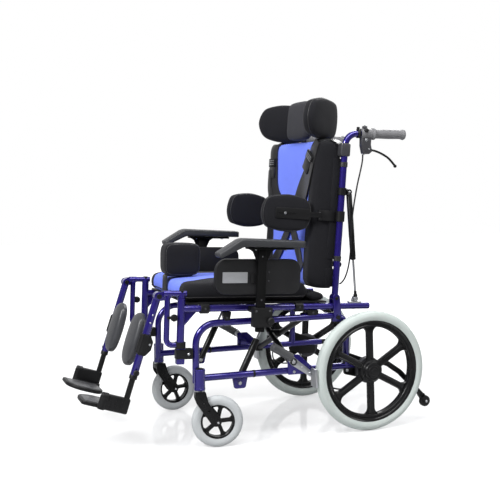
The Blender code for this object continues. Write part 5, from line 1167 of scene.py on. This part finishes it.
def pommel():
    strapZ = cushions["topZ"] - 0.001
    bm = softBlock((-0.04, -0.541, strapZ + 0.001), (0.04, -0.415, 0.2285), (2, 2, 1), oval=0.25, crown=0.1)
    rumple(bm, 0.001, 22.0, 2)
    parts = [(bm, "blackCloth")]
    for x in (-0.0385, 0.0385):
        parts.append((wire(ringAt(bm, (x * 0.86, 0, 0), (1, 0, 0)), 0.0011, True), "stitching"))
    front, back = cushions["frontY"] - 0.0055, -0.5153
    band = plate([(back, 0.047), (front, 0.047), (front, strapZ + 0.004), (-0.44, strapZ + 0.004),
                  (-0.44, strapZ), (front + 0.004, strapZ), (front + 0.004, 0.052), (back, 0.052)],
                 -0.0225, 0.0225, "X", [0, 0.003, 0.008, 0, 0, 0.003, 0.001, 0], 0.0006)
    parts.append((band, "webbing"))
    return parts


place("seatCushion", seatCushion(), "seat", ["seat_cushion"], "seat_cushion", seatAt)
place("pommelPad", pommel(), "seat", ["pommel"], "pommel", seatAt)
print("seat made")

# Arms

arms = {"x": 0.294, "postY": -0.305, "postTop": 0.2275, "padRear": -0.166, "padBend": -0.386,
        "padTip": -0.453, "padDrop": 0.047, "padWidth": 0.052}


def armPost():
    a = arms
    top = a["postTop"] + 0.002
    parts = [
        (block((0.016, 0.028, top + 0.03), (a["x"], a["postY"], (top - 0.03) / 2), 0.0024), "matteBlack"),
        (block((0.036, 0.152, 0.006), (a["x"], -0.279, a["postTop"] + 0.003), 0.0014), "matteBlack"),
        (plate([(-0.322, 0.19), (-0.288, 0.19), (-0.275, a["postTop"] - 0.008), (-0.262, a["postTop"]),
                (-0.348, a["postTop"]), (-0.335, a["postTop"] - 0.008)], a["x"] - 0.004, a["x"] + 0.004, "X",
               [0.002, 0.002, 0.006, 0, 0, 0.006]), "matteBlack"),
    ]
    for y in (-0.327, -0.226):
        parts.append((rod(0.005, a["postTop"] - 0.003, a["postTop"] + 0.001, (a["x"], y), "Z"), "zincPlate"))
    for z in (0.07, 0.205):
        parts.append((rod(0.003, a["x"] + 0.0075, a["x"] + 0.009, (a["postY"], z)), "gunPaint"))
    return parts


def armPad():
    a = arms
    low, rearTop, bendTop = a["postTop"] + 0.0063, 0.2556, 0.261
    tip, drop = a["padTip"], a["padDrop"]
    outline = [(a["padRear"], low), (a["padBend"] + 0.014, low + 0.0012), (tip + 0.003, low - drop * 0.78),
               (tip - 0.0005, bendTop - drop + 0.001), (a["padBend"] + 0.006, bendTop),
               (a["padRear"], rearTop)]
    half = a["padWidth"] / 2
    pad = plate(outline, a["x"] - half, a["x"] + half, "X", [0.003, 0.03, 0.008, 0.007, 0.045, 0.006],
                0.0065, 6, 4)
    return [(pad, "armFoam")]


def sideGuard():
    outer = arms["x"] - 0.008 - 0.0003
    outline = [(-0.452, 0.086), (-0.166, 0.086), (-0.166, 0.196), (-0.452, 0.196)]
    body = plate(outline, outer - 0.0215, outer, "X", [0.034, 0.03, 0.034, 0.04], 0.004, 8)
    top = max(body.faces, key=lambda f: f.normal.x * f.calc_area())
    bmesh.ops.inset_region(body, faces=[top], thickness=0.0045, depth=0.0)
    bmesh.ops.translate(body, vec=(-0.0006, 0, 0), verts=top.verts[:])
    parts = [(body, "guardPlastic")]
    for y, z in ((-0.331, 0.148), (-0.331, 0.128), (-0.276, 0.155), (-0.276, 0.128)):
        parts.append((rod(0.0028, outer - 0.001, outer + 0.0014, (y, z)), "gunPaint"))
    parts.append((block((0.004, 0.013, 0.03), (outer + 0.0015, -0.331, 0.138), 0.0012), "blackPlastic"))
    return parts


def labelPlate():
    outer = arms["x"] - 0.008 - 0.0003
    parts = [(plate([(-0.4295, 0.122), (-0.3475, 0.122), (-0.3475, 0.1555), (-0.4295, 0.1555)],
                    outer - 0.0008, outer + 0.0012, "X", 0.0015, 0.0003), "labelMetal")]
    for y in (-0.4265, -0.3505):
        parts.append((rod(0.0011, outer + 0.0008, outer + 0.0015, (y, 0.1388), "X", 0.0003, 16),
                      "zincPlate"))
    return parts


pair("armPost", armPost, "arm", "arm_post", seatAt)
pair("armPad", armPad, "arm", "arm_pad", seatAt)
pair("sideGuard", sideGuard, "arm", "side_guard", seatAt)
place("labelPlate", labelPlate(), "arm_left", [], "tilt_rod", seatAt)
print("arms made")

# Back: frame, cushion, harness

strapThick = 0.0025
back = {"x": 0.216, "cornerZ": 0.5424, "bend": 0.044, "handleY": 0.0375, "reach": 0.17, "barY": 0.008,
        "barZ": (0.11, 0.475), "lean": math.radians(4), "frontY": -0.09, "lowZ": 0.04, "highZ": 0.52}
back["handleZ"] = back["cornerZ"] + back["handleY"] * math.tan(back["lean"])
back["rearY"] = back["barY"] - 0.0103


def claspAround(x, z, height, wide=0.0035):
    low, high, outer = z - height / 2, z + height / 2, 0.011 + wide
    return lathe([(low, 0.0112), (low, outer - 0.0008), (low + 0.0008, outer), (high - 0.0008, outer),
                  (high, outer - 0.0008), (high, 0.0112)], "Z", (x, 0, 0))


def topStrap(side):
    # the shoulder strap's run over the cushion's top to the tube
    edges = [((0.144, -0.083, 0.512), (0.184, -0.08, 0.508)),
             ((0.146, -0.07, 0.5225), (0.187, -0.068, 0.517)),
             ((0.152, -0.04, 0.525), (0.193, -0.042, 0.519)),
             ((0.168, -0.012, 0.5245), (0.205, -0.026, 0.511)),
             ((0.198, 0.01, 0.512), (0.217, -0.015, 0.494))]
    return softened(spanned([[(side * x, y, z) for x, y, z in ends] for ends in edges]), 3, strapThick)


def backFrame():
    b = back
    parts = []
    endY = b["handleY"] + b["reach"] * math.cos(b["lean"])
    endZ = b["cornerZ"] + endY * math.tan(b["lean"])
    for side in (1, -1):
        x = side * b["x"]
        parts += [
            (tube([(x, 0, 0), (x, 0, b["cornerZ"]), (x, endY, endZ)], 0.011, [b["bend"]]), "bluePaint"),
            (rod(0.012, side * 0.205, side * 0.2268, (0, 0)), "bluePaint"),
            (link((0.0, 0.3514), (0.0258, 0.3514), 0.012, 0.009, side * 0.2025, side * 0.206), "blackPaint"),
            (claspAround(x, 0.3514, 0.024), "blackPaint"),
            (rod(0.004, side * 0.205, side * 0.224, (0.0258, 0.3514)), "zincPlate"),
            (claspAround(x, 0.269, 0.034), "blackPlastic"),
            (block((0.003, 0.07, 0.034), (side * 0.2035, -0.0335, 0.269), 0.0008), "blackPlastic"),
            (rod(0.005, 0.252, 0.26, (side * 0.208, -0.07), "Z"), "blackPlastic"),
            (rod(0.005, 0.278, 0.286, (side * 0.208, -0.07), "Z"), "blackPlastic"),
            (rod(0.0025, 0.259, 0.279, (side * 0.208, -0.07), "Z"), "zincPlate"),
            (claspAround(x, 0.13, 0.016, 0.0018), "webbing"),
            (claspAround(x, 0.44, 0.016, 0.0018), "webbing"),
            (claspAround(x, 0.5, 0.02, 0.0026), "gunPaint"),
            (block((0.03, 0.034, 0.042), (side * 0.215, -0.002, 0.488), 0.0045, None, 3), "gunPaint"),
            (topStrap(side), "webbing"),
        ]
        collar = lathe([(0.003, 0.0112), (0.003, 0.0138), (0.004, 0.0148), (0.012, 0.0148), (0.013, 0.0138),
                        (0.013, 0.0112)], "Y", (x, 0, 0))
        knob = rod(0.0052, 0.0135, 0.022, (x, 0.008), "Z")
        for piece in (collar, knob):
            bmesh.ops.transform(piece, matrix=backAt.inverted() @ levelAt, verts=piece.verts[:])
            parts.append((piece, "blackPlastic"))
    for z in b["barZ"]:
        parts.append((rod(0.01, -b["x"], b["x"], (b["barY"], z)), "blackPaint"))
    parts.append((block((0.036, 0.0255, 0.044), (0, 0.02075, b["barZ"][1]), 0.002), "blackPlastic"))
    return parts


def cushionBulge(x):
    edge = min(max((abs(x) - 0.07) / 0.09, 0.0), 1.0)
    return 0.024 * (1 - edge * edge * (3 - 2 * edge))


def backForm():
    b = back

    def bolsters(at, across, along, face):
        if face < -0.5:
            at.y += cushionBulge(at.x)
        elif face < 0.5:
            at.y = b["rearY"] - 0.012
        return at
    return softBlock((-0.2, b["frontY"], b["lowZ"] - 0.016), (0.2, b["rearY"], b["highZ"]), (5, 4, 1),
                     flat="Y", drawn=(0.03, 0.0), crown=0.16, crowned=(-1,), oval=0.05, shape=bolsters)


def backCushion(bm):
    b = back
    points = [(0, b["frontY"], z) for z in spread(b["lowZ"] + 0.008, b["highZ"] - 0.008, 70)]
    parts = panelSeams(bm, backPanel, backAt, points, (0, 1, 0))
    parts.append((wire(ringAt(bm, (0, b["rearY"] - 0.006, 0.28), (0, 1, 0)), 0.0013, True), "stitching"))
    # side flaps that close the cover against the tubes, between the cross bars
    for side in (1, -1):
        for low, high in ((0.034, 0.094), (0.126, 0.459), (0.491, 0.508)):
            flap = plate([(-0.03, low), (0.006, low), (0.006, high), (-0.03, high)], side * 0.1985,
                         side * 0.2005, "X", [0, 0.004, 0.004, 0], 0.0005)
            parts.append((flap, "blackCloth"))
    return [(bm, "backCloth")] + parts


def strapOn(surface, points, widths, lift, steps):
    # a flat ribbon that lies on the cushion's front
    tree = BVHTree.FromBMesh(surface)
    path = easedPath([(x, wide, z) for (x, z), wide in zip(points, widths)], steps)
    route = [Vector((p.x, p.z)) for p in path]
    reach = [(dx, dz) for dx in (-0.006, 0, 0.006) for dz in (-0.006, 0, 0.006)]
    rows = []
    for index, middle in enumerate(route):
        ahead = (route[min(index + 1, len(route) - 1)] - route[max(index - 1, 0)]).normalized()
        wide = Vector((-ahead.y, ahead.x)) * path[index].y / 2
        row = []
        for k in range(-3, 4):
            at = middle + wide * k / 3
            hits = [tree.ray_cast(Vector((at.x + dx, -1, at.y + dz)), Vector((0, 1, 0)))[0]
                    for dx, dz in reach]
            y = min([hit.y for hit in hits if hit] + [back["frontY"] + 0.014])
            row.append((at.x, y - 0.0003 - lift - strapThick / 2, at.y))
        rows.append(row)
    bm = spanned(rows)
    bmesh.ops.recalc_face_normals(bm, faces=bm.faces[:])
    return softened(bm, 0, strapThick)


def harness(surface):
    bellyZ = 0.235
    parts = []
    for side, lift in ((1, 0.0003), (-1, 0.0012)):
        run = [(0.174, 0.514), (0.146, 0.448), (0.07, 0.335), (0.012, 0.245)]
        second = [(0.172, 0.44), (0.136, 0.35), (0.07, 0.262)]
        if side < 0:
            run = [(-0.166, 0.514), (-0.166, 0.435), (-0.15, 0.33), (-0.03, 0.245)]
            second = [(-0.182, 0.42), (-0.17, 0.35), (-0.12, 0.262)]
        hips = [(side * 0.12, 0.085), (side * 0.062, 0.155), (side * 0.002, bellyZ)]
        parts += [(strapOn(surface, run, (0.046, 0.066, 0.084, 0.042), lift, 10), "webbing"),
                  (strapOn(surface, second, (0.022, 0.026, 0.026), 0.0034 + lift, 8), "webbing"),
                  (strapOn(surface, hips, (0.04, 0.04, 0.036), lift, 12), "webbing")]
        tilt = 34 if side > 0 else -2
        clip = Vector((run[1][0], -0.0925, run[1][1] + 0.012))
        pieces = [((0, 0, 0), (0.052, 0.0075, 0.03), 0.002, "blackPlastic"),
                  ((0, 0, -0.036), (0.046, 0.006, 0.04), 0.002, "webbing")]
        for up in (-0.007, 0.0, 0.007):
            pieces.append(((0, -0.004, up), (0.04, 0.0024, 0.0034), 0.001, "zincPlate"))
        for away, size, edge, finish in pieces:
            middle = clip + Matrix.Rotation(math.radians(tilt), 3, "Y") @ Vector(away)
            parts.append((block(size, middle, edge, ("Y", tilt)), finish))
    parts.append((block((0.05, 0.0095, 0.06), (0, back["frontY"] + 0.0002, bellyZ), 0.003), "blackPlastic"))
    parts.append((block((0.022, 0.003, 0.02), (0, back["frontY"] - 0.005, bellyZ), 0.0012), "gunPaint"))
    return parts


place("backFrame", backFrame(), "back", ["back_frame"], "back_frame", backAt)
backSurface = backForm()
strapParts = harness(backSurface)
place("backCushion", backCushion(backSurface), "back", ["back_cushion"], "back_cushion", backAt)
place("harnessStraps", strapParts, "back", ["harness"], "harness", backAt)


def pushHandle():
    x = back["x"]
    grip = lathe([(0.016, 0.0116), (0.016, 0.0165), (0.017, 0.017), (0.03, 0.017), (0.031, 0.016),
                  (0.058, 0.016), (0.059, 0.017), (0.06, 0.019), (0.062, 0.0198), (0.066, 0.0198),
                  (0.068, 0.0185), (0.07, 0.015), (0.08, 0.0148), (0.12, 0.0158), (0.165, 0.015),
                  (0.171, 0.0155), (0.174, 0.0175), (0.178, 0.018), (0.181, 0.0165), (0.182, 0.013),
                  (0.182, 0.0)], "Y",
                 (x, 0, 0), 40)
    body = plate([(0.017, -0.012), (0.017, -0.04), (0.023, -0.067), (0.046, -0.067), (0.057, -0.058),
                  (0.052, -0.036), (0.054, -0.012)], x - 0.0105, x + 0.0105, "X",
                 [0, 0.02, 0.005, 0.004, 0.005, 0.02, 0], 0.0036, 5, 3)
    slot = block((0.01, 0.04, 0.052), (x, 0.05, -0.052), 0)
    parts = [(grip, "gripRubber"), (drilled(body, slot), "gunPaint"),
             (rod(0.003, x - 0.0112, x + 0.0112, (0.045, -0.05)), "zincPlate"),
             (rod(0.005, x - 0.0118, x + 0.0118, (0.0345, -0.02)), "zincPlate"),
             (rod(0.0046, -0.07, -0.064, (x, 0.0275), "Z"), "zincPlate"),
             (lathe([(0.0, 0.0), (0.0, 0.005), (0.002, 0.007), (0.008, 0.007), (0.01, 0.005), (0.01, 0.0)],
                    "X", (x + 0.012, 0.03, 0.01), 12), "blackPlastic"),
             (block((0.012, 0.016, 0.02), (x + 0.004, 0.03, 0.016), 0.003), "gunPaint"),
             (rod(0.0035, 0.014, 0.028, (x + 0.004, 0.03), "Z"), "zincPlate")]
    return parts


def brakeLever():
    x, y, z = back["x"], 0.045, -0.05
    path = easedPath([(x, y + 0.002, z - 0.001), (x, y + 0.03, z - 0.007), (x, y + 0.055, z - 0.0165),
                      (x, y + 0.08, z - 0.031), (x, y + 0.104, z - 0.055)], 8)
    ball = lathe([(-0.0055, 0.0), (-0.005, 0.003), (-0.0025, 0.0052), (0.0, 0.0058), (0.0025, 0.0052),
                  (0.005, 0.003), (0.0055, 0.0)], "Z", (x, y + 0.1045, z - 0.056), 24)
    blade = wire(path, 0.0036, sides=5)
    for vert in blade.verts:
        vert.co.x = x + (vert.co.x - x) * 1.35
    return [(rod(0.0075, x - 0.0042, x + 0.0042, (y, z)), "gunPaint"), (blade, "blackPaint"),
            (ball, "blackPaint")]


pair("pushHandle", pushHandle, "back", "push_handle", levelAt)
pair("brakeLever", brakeLever, "brake_lever", "brake_lever", levelAt)

cables = {"radius": 0.0025, "outer": 0.229}


def cableRoute(side):
    lean, outer = back["lean"], cables["outer"]
    startY, startZ = 0.0255, -0.0673
    route = [(back["x"], back["handleY"] + startY * math.cos(lean) - z * math.sin(lean),
              back["handleZ"] + startY * math.sin(lean) + z * math.cos(lean))
             for z in (startZ, startZ - 0.012)]
    route += [(0.2185, 0.066, 0.448), (0.2235, 0.058, 0.415), (0.2262, 0.0505, 0.38), (0.2282, 0.045, 0.345),
              (outer, 0.0405, 0.305), (outer, 0.038, 0.26), (outer, 0.0385, 0.215), (outer, 0.04, 0.17),
              (outer, 0.039, 0.13), (outer, 0.0345, 0.095), (0.2278, 0.027, 0.068), (0.224, 0.0185, 0.052),
              (0.22, 0.0122, 0.046)]
    return [backAt @ Vector((side * x, y, z)) for x, y, z in route]


for word, side in (("left", 1), ("right", -1)):
    route = easedPath(cableRoute(side), 4)
    cable = place("brakeCable_" + word, [(wire(route, cables["radius"]), "blackPlastic")], "back",
                  ["brake_cable_" + word], "brake_cable")
print("back, harness and handles made")

# Headrest and trunk pads

head = {"z": 0.59, "height": 0.135, "postY": 0.0245, "wingX": 0.086, "wingY": 0.003, "wingLength": 0.171,
        "wingThick": 0.045}


def headrestMount():
    z, y = head["z"], head["postY"]
    parts = [
        (block((0.02, 0.008, 0.175), (0, y, 0.5225), 0.0012), "zincPlate"),
        (block((0.019, 0.075, 0.008), (0, -0.0095, z + 0.01), 0.0012), "blackPaint"),
        (block((0.06, 0.003, 0.06), (0, -0.0463, z), 0.001), "blackPaint"),
        (tube([(-0.074, head["wingY"], z), (0.074, head["wingY"], z)], 0.007), "blackPaint"),
    ]
    for side in (1, -1):
        parts.append((block((0.008, 0.012, 0.04), (side * 0.0745, head["wingY"], z), 0.001), "blackPaint"))
        for e in (-1, 1):
            ez = z + e * 0.01575
            parts.append((block((0.014, 0.01, 0.0085), (side * 0.08, head["wingY"], ez), 0.001),
                          "blackPaint"))
            parts.append((rod(0.0065, ez - 0.00425, ez + 0.00425, (side * head["wingX"], head["wingY"]),
                              "Z"), "blackPaint"))
        parts.append((rod(0.003, z - 0.014, z + 0.014, (side * head["wingX"], head["wingY"]), "Z"),
                      "zincPlate"))
    for ez in (0.455, 0.485, 0.515, 0.545):
        parts.append((rod(0.0022, y + 0.0032, y + 0.0044, (0, ez), "Y", 0.0003, 12), "blackPaint"))
    return parts


def headrestPad():
    z, half = head["z"], head["height"] / 2
    bm = softBlock((-0.074, -0.094, z - half), (0.074, -0.0481, z + half), (3, 2, 0), flat="Y", oval=0.3,
                   crown=0.34, crowned=(-1,))
    rumple(bm, 0.0008, 24.0, 4)
    parts = [(bm, "greyCloth")]
    parts.append((wire(ringAt(bm, (0, -0.06, z), (0, 1, 0)), 0.001, True), "stitching"))
    return parts


def headrestWing():
    half = head["height"] / 2
    bm = softBlock((-0.014, -0.014 - head["wingLength"], -half), (head["wingThick"] - 0.003, 0.003, half),
                   (3, 3, 0), flat="X", oval=(0.98, 0.62), crown=0.42)
    rumple(bm, 0.0008, 24.0, 5)
    middle = head["wingThick"] / 2 - 0.014
    return [(bm, "blackCloth"),
            (wire(ringAt(bm, (middle + 0.01, -0.1, 0), (1, 0, 0)), 0.0011, True), "stitching"),
            (block((0.01, 0.034, 0.017), (0, -0.012, 0), 0.001), "blackPaint"),
            (rod(0.0065, -0.009, 0.009, (0, 0), "Z"), "blackPaint")]


def thoraxPad():
    thick, length, height = 0.04, 0.18, 0.122
    bm = softBlock((0.0027 - thick, -0.015 - length, -height / 2), (0.0027, -0.026, height / 2), (3, 3, 0),
                   flat="X", oval=0.86, crown=0.22)
    rumple(bm, 0.0008, 24.0, 6)
    parts = [(bm, "blackCloth")]
    for x in (-0.004, 0.0027 - thick + 0.007):
        parts.append((wire(ringAt(bm, (x, -0.12, 0), (1, 0, 0)), 0.0012, True), "stitching"))
    cover = plate([(-0.15, -0.0175), (-0.034, -0.0175), (-0.034, 0.0175), (-0.15, 0.0175)], -0.002, 0.0052,
                  "X", 0.006, 0.0012)
    slot = plate([(-0.142, -0.0035), (-0.08, -0.0035), (-0.08, 0.0035), (-0.142, 0.0035)], 0.0046, 0.0058,
                 "X", 0.003, 0.0003)
    parts.append((cover, "blackPlastic"))
    parts.append((slot, "blackPaint"))
    parts.append((rod(0.0042, 0.005, 0.0066, (-0.118, 0.0)), "zincPlate"))
    parts.append((block((0.0032, 0.05, 0.016), (0.0032, -0.024, 0), 0.0008), "blackPaint"))
    parts.append((rod(0.005, -0.0085, 0.0085, (0, 0), "Z"), "blackPaint"))
    return parts


place("headrestMount", headrestMount(), "headrest", ["headrest_mount"], "headrest_mount", backAt)
place("headrestPad", headrestPad(), "headrest", ["headrest_pad"], "headrest_pad", backAt)
for piece in pair("headrestWing", headrestWing, "headrest_wing", "headrest_wing", wingAt):
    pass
for piece in pair("trunkPad", thoraxPad, "thorax_pad", "thorax_pad", thoraxAt):
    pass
print("headrest and trunk pads made")

# Leg rests

leg = {"x": 0.205, "sleeve": 0.012, "sleeveEnd": -0.2632, "tube": 0.009, "tubeEnd": -0.369,
       "pivot": (-0.6098, 0.0755), "calfTall": 0.17, "calfWide": 0.108, "calfThick": 0.035,
       "plateWidth": 0.128}


def hanger():
    x, postY = 0.216, seatTube["postY"]
    frontY, topZ, lowZ = -0.5817, 0.0835, -0.0763
    pivot = leg["pivot"]
    hole = rod(0.0123, lowZ - 0.02, lowZ + 0.02, (x, postY), "Z", 0.0002)
    collar = rod(0.0172, lowZ - 0.0092, lowZ + 0.0092, (x, postY), "Z")
    parts = [
        (tube([(x, -0.522, topZ), (x, frontY, topZ), (x, frontY, lowZ), (x, -0.551, lowZ)], 0.009,
              [0.014, 0.02]), "bluePaint"),
        (tube([(x, -0.57, topZ), (x, -0.5955, topZ)], 0.01), "bluePaint"),
        (rod(0.012, seatTube["postTop"] + 0.0003, topZ, (x, postY), "Z"), "bluePaint"),
        (rod(0.0085, topZ, topZ + 0.0098, (x, postY), "Z"), "blackPlastic"),
        (drilled(collar, hole), "blackPlastic"),
        (link((-0.584, 0.078), pivot, 0.014, 0.014, 0.2175, 0.2215), "bluePaint"),
        (rod(0.005, 0.1915, 0.219, pivot), "zincPlate"),
        (hexHead(0.0085, 0.221, 0.2262, pivot), "blackPaint"),
        (rod(0.0075, 0.189, 0.193, pivot), "blackPaint"),
        (block((0.009, 0.022, 0.008), (0.2235, -0.573, 0.01), 0.001), "blackPlastic"),
        (lathe([(0.223, 0.0), (0.223, 0.008), (0.225, 0.011), (0.231, 0.0115), (0.234, 0.0095),
                (0.235, 0.0)], "X", (0, -0.5625, 0.01), 24), "blackPlastic"),
    ]
    return parts


def legTube():
    x = leg["x"]
    end = leg["sleeveEnd"]
    sleeve = lathe([(end, 0.0092), (end, 0.0115), (end + 0.0015, leg["sleeve"]), (-0.004, leg["sleeve"]),
                    (-0.004, 0.0)], "Z", (x, 0, 0), 32)
    parts = [
        (sleeve, "bluePaint"),
        (rod(leg["sleeve"] + 0.001, 0.1935, 0.217, (0, 0)), "bluePaint"),
        (lathe([(end, 0.0096), (end, 0.0125), (end + 0.012, 0.0125), (end + 0.013, 0.012)], "Z", (x, 0, 0),
               32), "blackPlastic"),
        (lathe([(x + 0.0097, 0.0), (x + 0.0097, 0.0065), (x + 0.014, 0.0065), (x + 0.016, 0.009),
                (x + 0.024, 0.009), (x + 0.026, 0.007), (x + 0.026, 0.0)], "X", (0, 0.0, end + 0.022), 12),
         "blackPlastic"),
    ]
    for z in (-0.06, -0.085):
        parts.append((rod(0.0026, x + 0.0112, x + 0.0128, (0.0, z)), "zincPlate"))
    return parts


def footTube():
    x, end = leg["x"], leg["tubeEnd"]
    hinge = (0.187, -0.3695)
    parts = [
        (rod(leg["tube"], end, -0.128, (x, 0), "Z", 0.0015, 28), "blackPaint"),
        (block((0.0225, 0.087, 0.048), (0.2052, -0.0315, -0.348), 0.005, None, 3), "blackPlastic"),
        (rod(0.0125, -0.078, -0.058, (0.2075, -0.333), "Y", 0.0015), "blackPlastic"),
        (rod(0.0125, -0.3735, -0.33, (0.2062, -0.069), "Z", 0.002), "blackPlastic"),
        (rod(0.0035, -0.069, 0.006, hinge, "Y"), "zincPlate"),
    ]
    for low, high in ((-0.0743, -0.0643), (0.0013, 0.0113)):
        parts.append((rod(0.0065, low, high, hinge, "Y"), "blackPlastic"))
        parts.append((block((0.012, high - low, 0.012), (0.1925, (low + high) / 2, hinge[1] + 0.0005),
                            0.001), "blackPlastic"))
    for y in (-0.05, -0.032, -0.014):
        parts.append((block((0.002, 0.003, 0.04), (0.217, y, -0.347), 0.0008), "blackPlastic"))
    for z in (-0.15, -0.175, -0.2):
        parts.append((rod(0.0026, x + 0.0084, x + 0.0093, (0.0, z), "X", 0.0002, 12), "darkRubber"))
    return parts


def footplate():
    width = leg["plateWidth"]
    half = 0.0045
    edge, far = -0.0085, -0.008 - width
    board = plate([(edge, -0.123), (edge, 0.002), (far, 0.002), (far, -0.123)], -half - 0.003, half, "Z",
                  [0.01, 0.008, 0.044, 0.058], 0.0034, 10, 3)
    parts = [(board, "blackPlastic"),
             (plate([(edge - 0.012, -0.114), (edge - 0.012, -0.007), (far + 0.009, -0.007),
                     (far + 0.009, -0.114)],
                    half - 0.0005, half + 0.0016, "Z", [0.006, 0.006, 0.036, 0.05], 0.0008, 10),
              "footRubber"),
             (rod(0.0062, -0.064, 0.001, (0, 0), "Y"), "blackPlastic"),
             (block((0.01, 0.065, 0.009), (-0.006, -0.0315, 0), 0.001), "blackPlastic")]
    for y in (-0.086, -0.068, -0.05, -0.032):
        parts.append((block((width - 0.052, 0.005, 0.002), (-0.01 - width / 2, y, half + 0.0012), 0.0009),
                      "footRubber"))
    return parts


def calfPad():
    wide, thick, tall = leg["calfWide"], leg["calfThick"], leg["calfTall"]
    outer = 0.175 - leg["x"]
    bm = softBlock((outer - wide, -0.0265, -tall / 2), (outer, thick - 0.0265, tall / 2), (3, 3, 0),
                   flat="Y", oval=0.92, crown=0.42)
    rumple(bm, 0.0006, 24.0, 7)
    rear = ringAt(bm, (0, thick - 0.0265 - 0.01, 0), (0, 1, 0))
    clamps = [rod(0.017, -0.03, 0.03, (0, 0), "Z", 0.002)]
    clamps.append(plate([(-0.012, -0.034), (0.012, -0.034), (0.0255, -0.012), (0.0255, 0.014),
                         (0.012, 0.032),
                   (-0.012, 0.032)],
                  -0.0145, 0.0155, "X", [0.004, 0.006, 0.006, 0.006, 0.006, 0.004], 0.002))
    parts = [(bm, "calfVinyl"), (wire(rear, 0.0012, True), "stitching")]
    for piece in clamps:
        parts.append((drilled(piece, rod(0.0123, -0.05, 0.05, (0, 0), "Z", 0.0002)), "blackPlastic"))
    parts.append((block((0.022, 0.007, 0.046), (outer + 0.004, 0.006, 0), 0.0015), "blackPlastic"))
    parts.append((rod(0.0034, 0.015, 0.016, (0.0165, 0.004)), "zincPlate"))
    return parts


pair("hangerBracket", hanger, "hanger", "hanger", seatAt)
pair("legTube", legTube, "leg_tube", "leg_tube", legAt)
pair("footTube", footTube, "foot_tube", "foot_tube", legAt)
pair("footplate", footplate, "footplate", "footplate", flipAt)
for piece in pair("calfPad", calfPad, "calf_pad", "calf_pad", calfAt):
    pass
print("leg rests made")
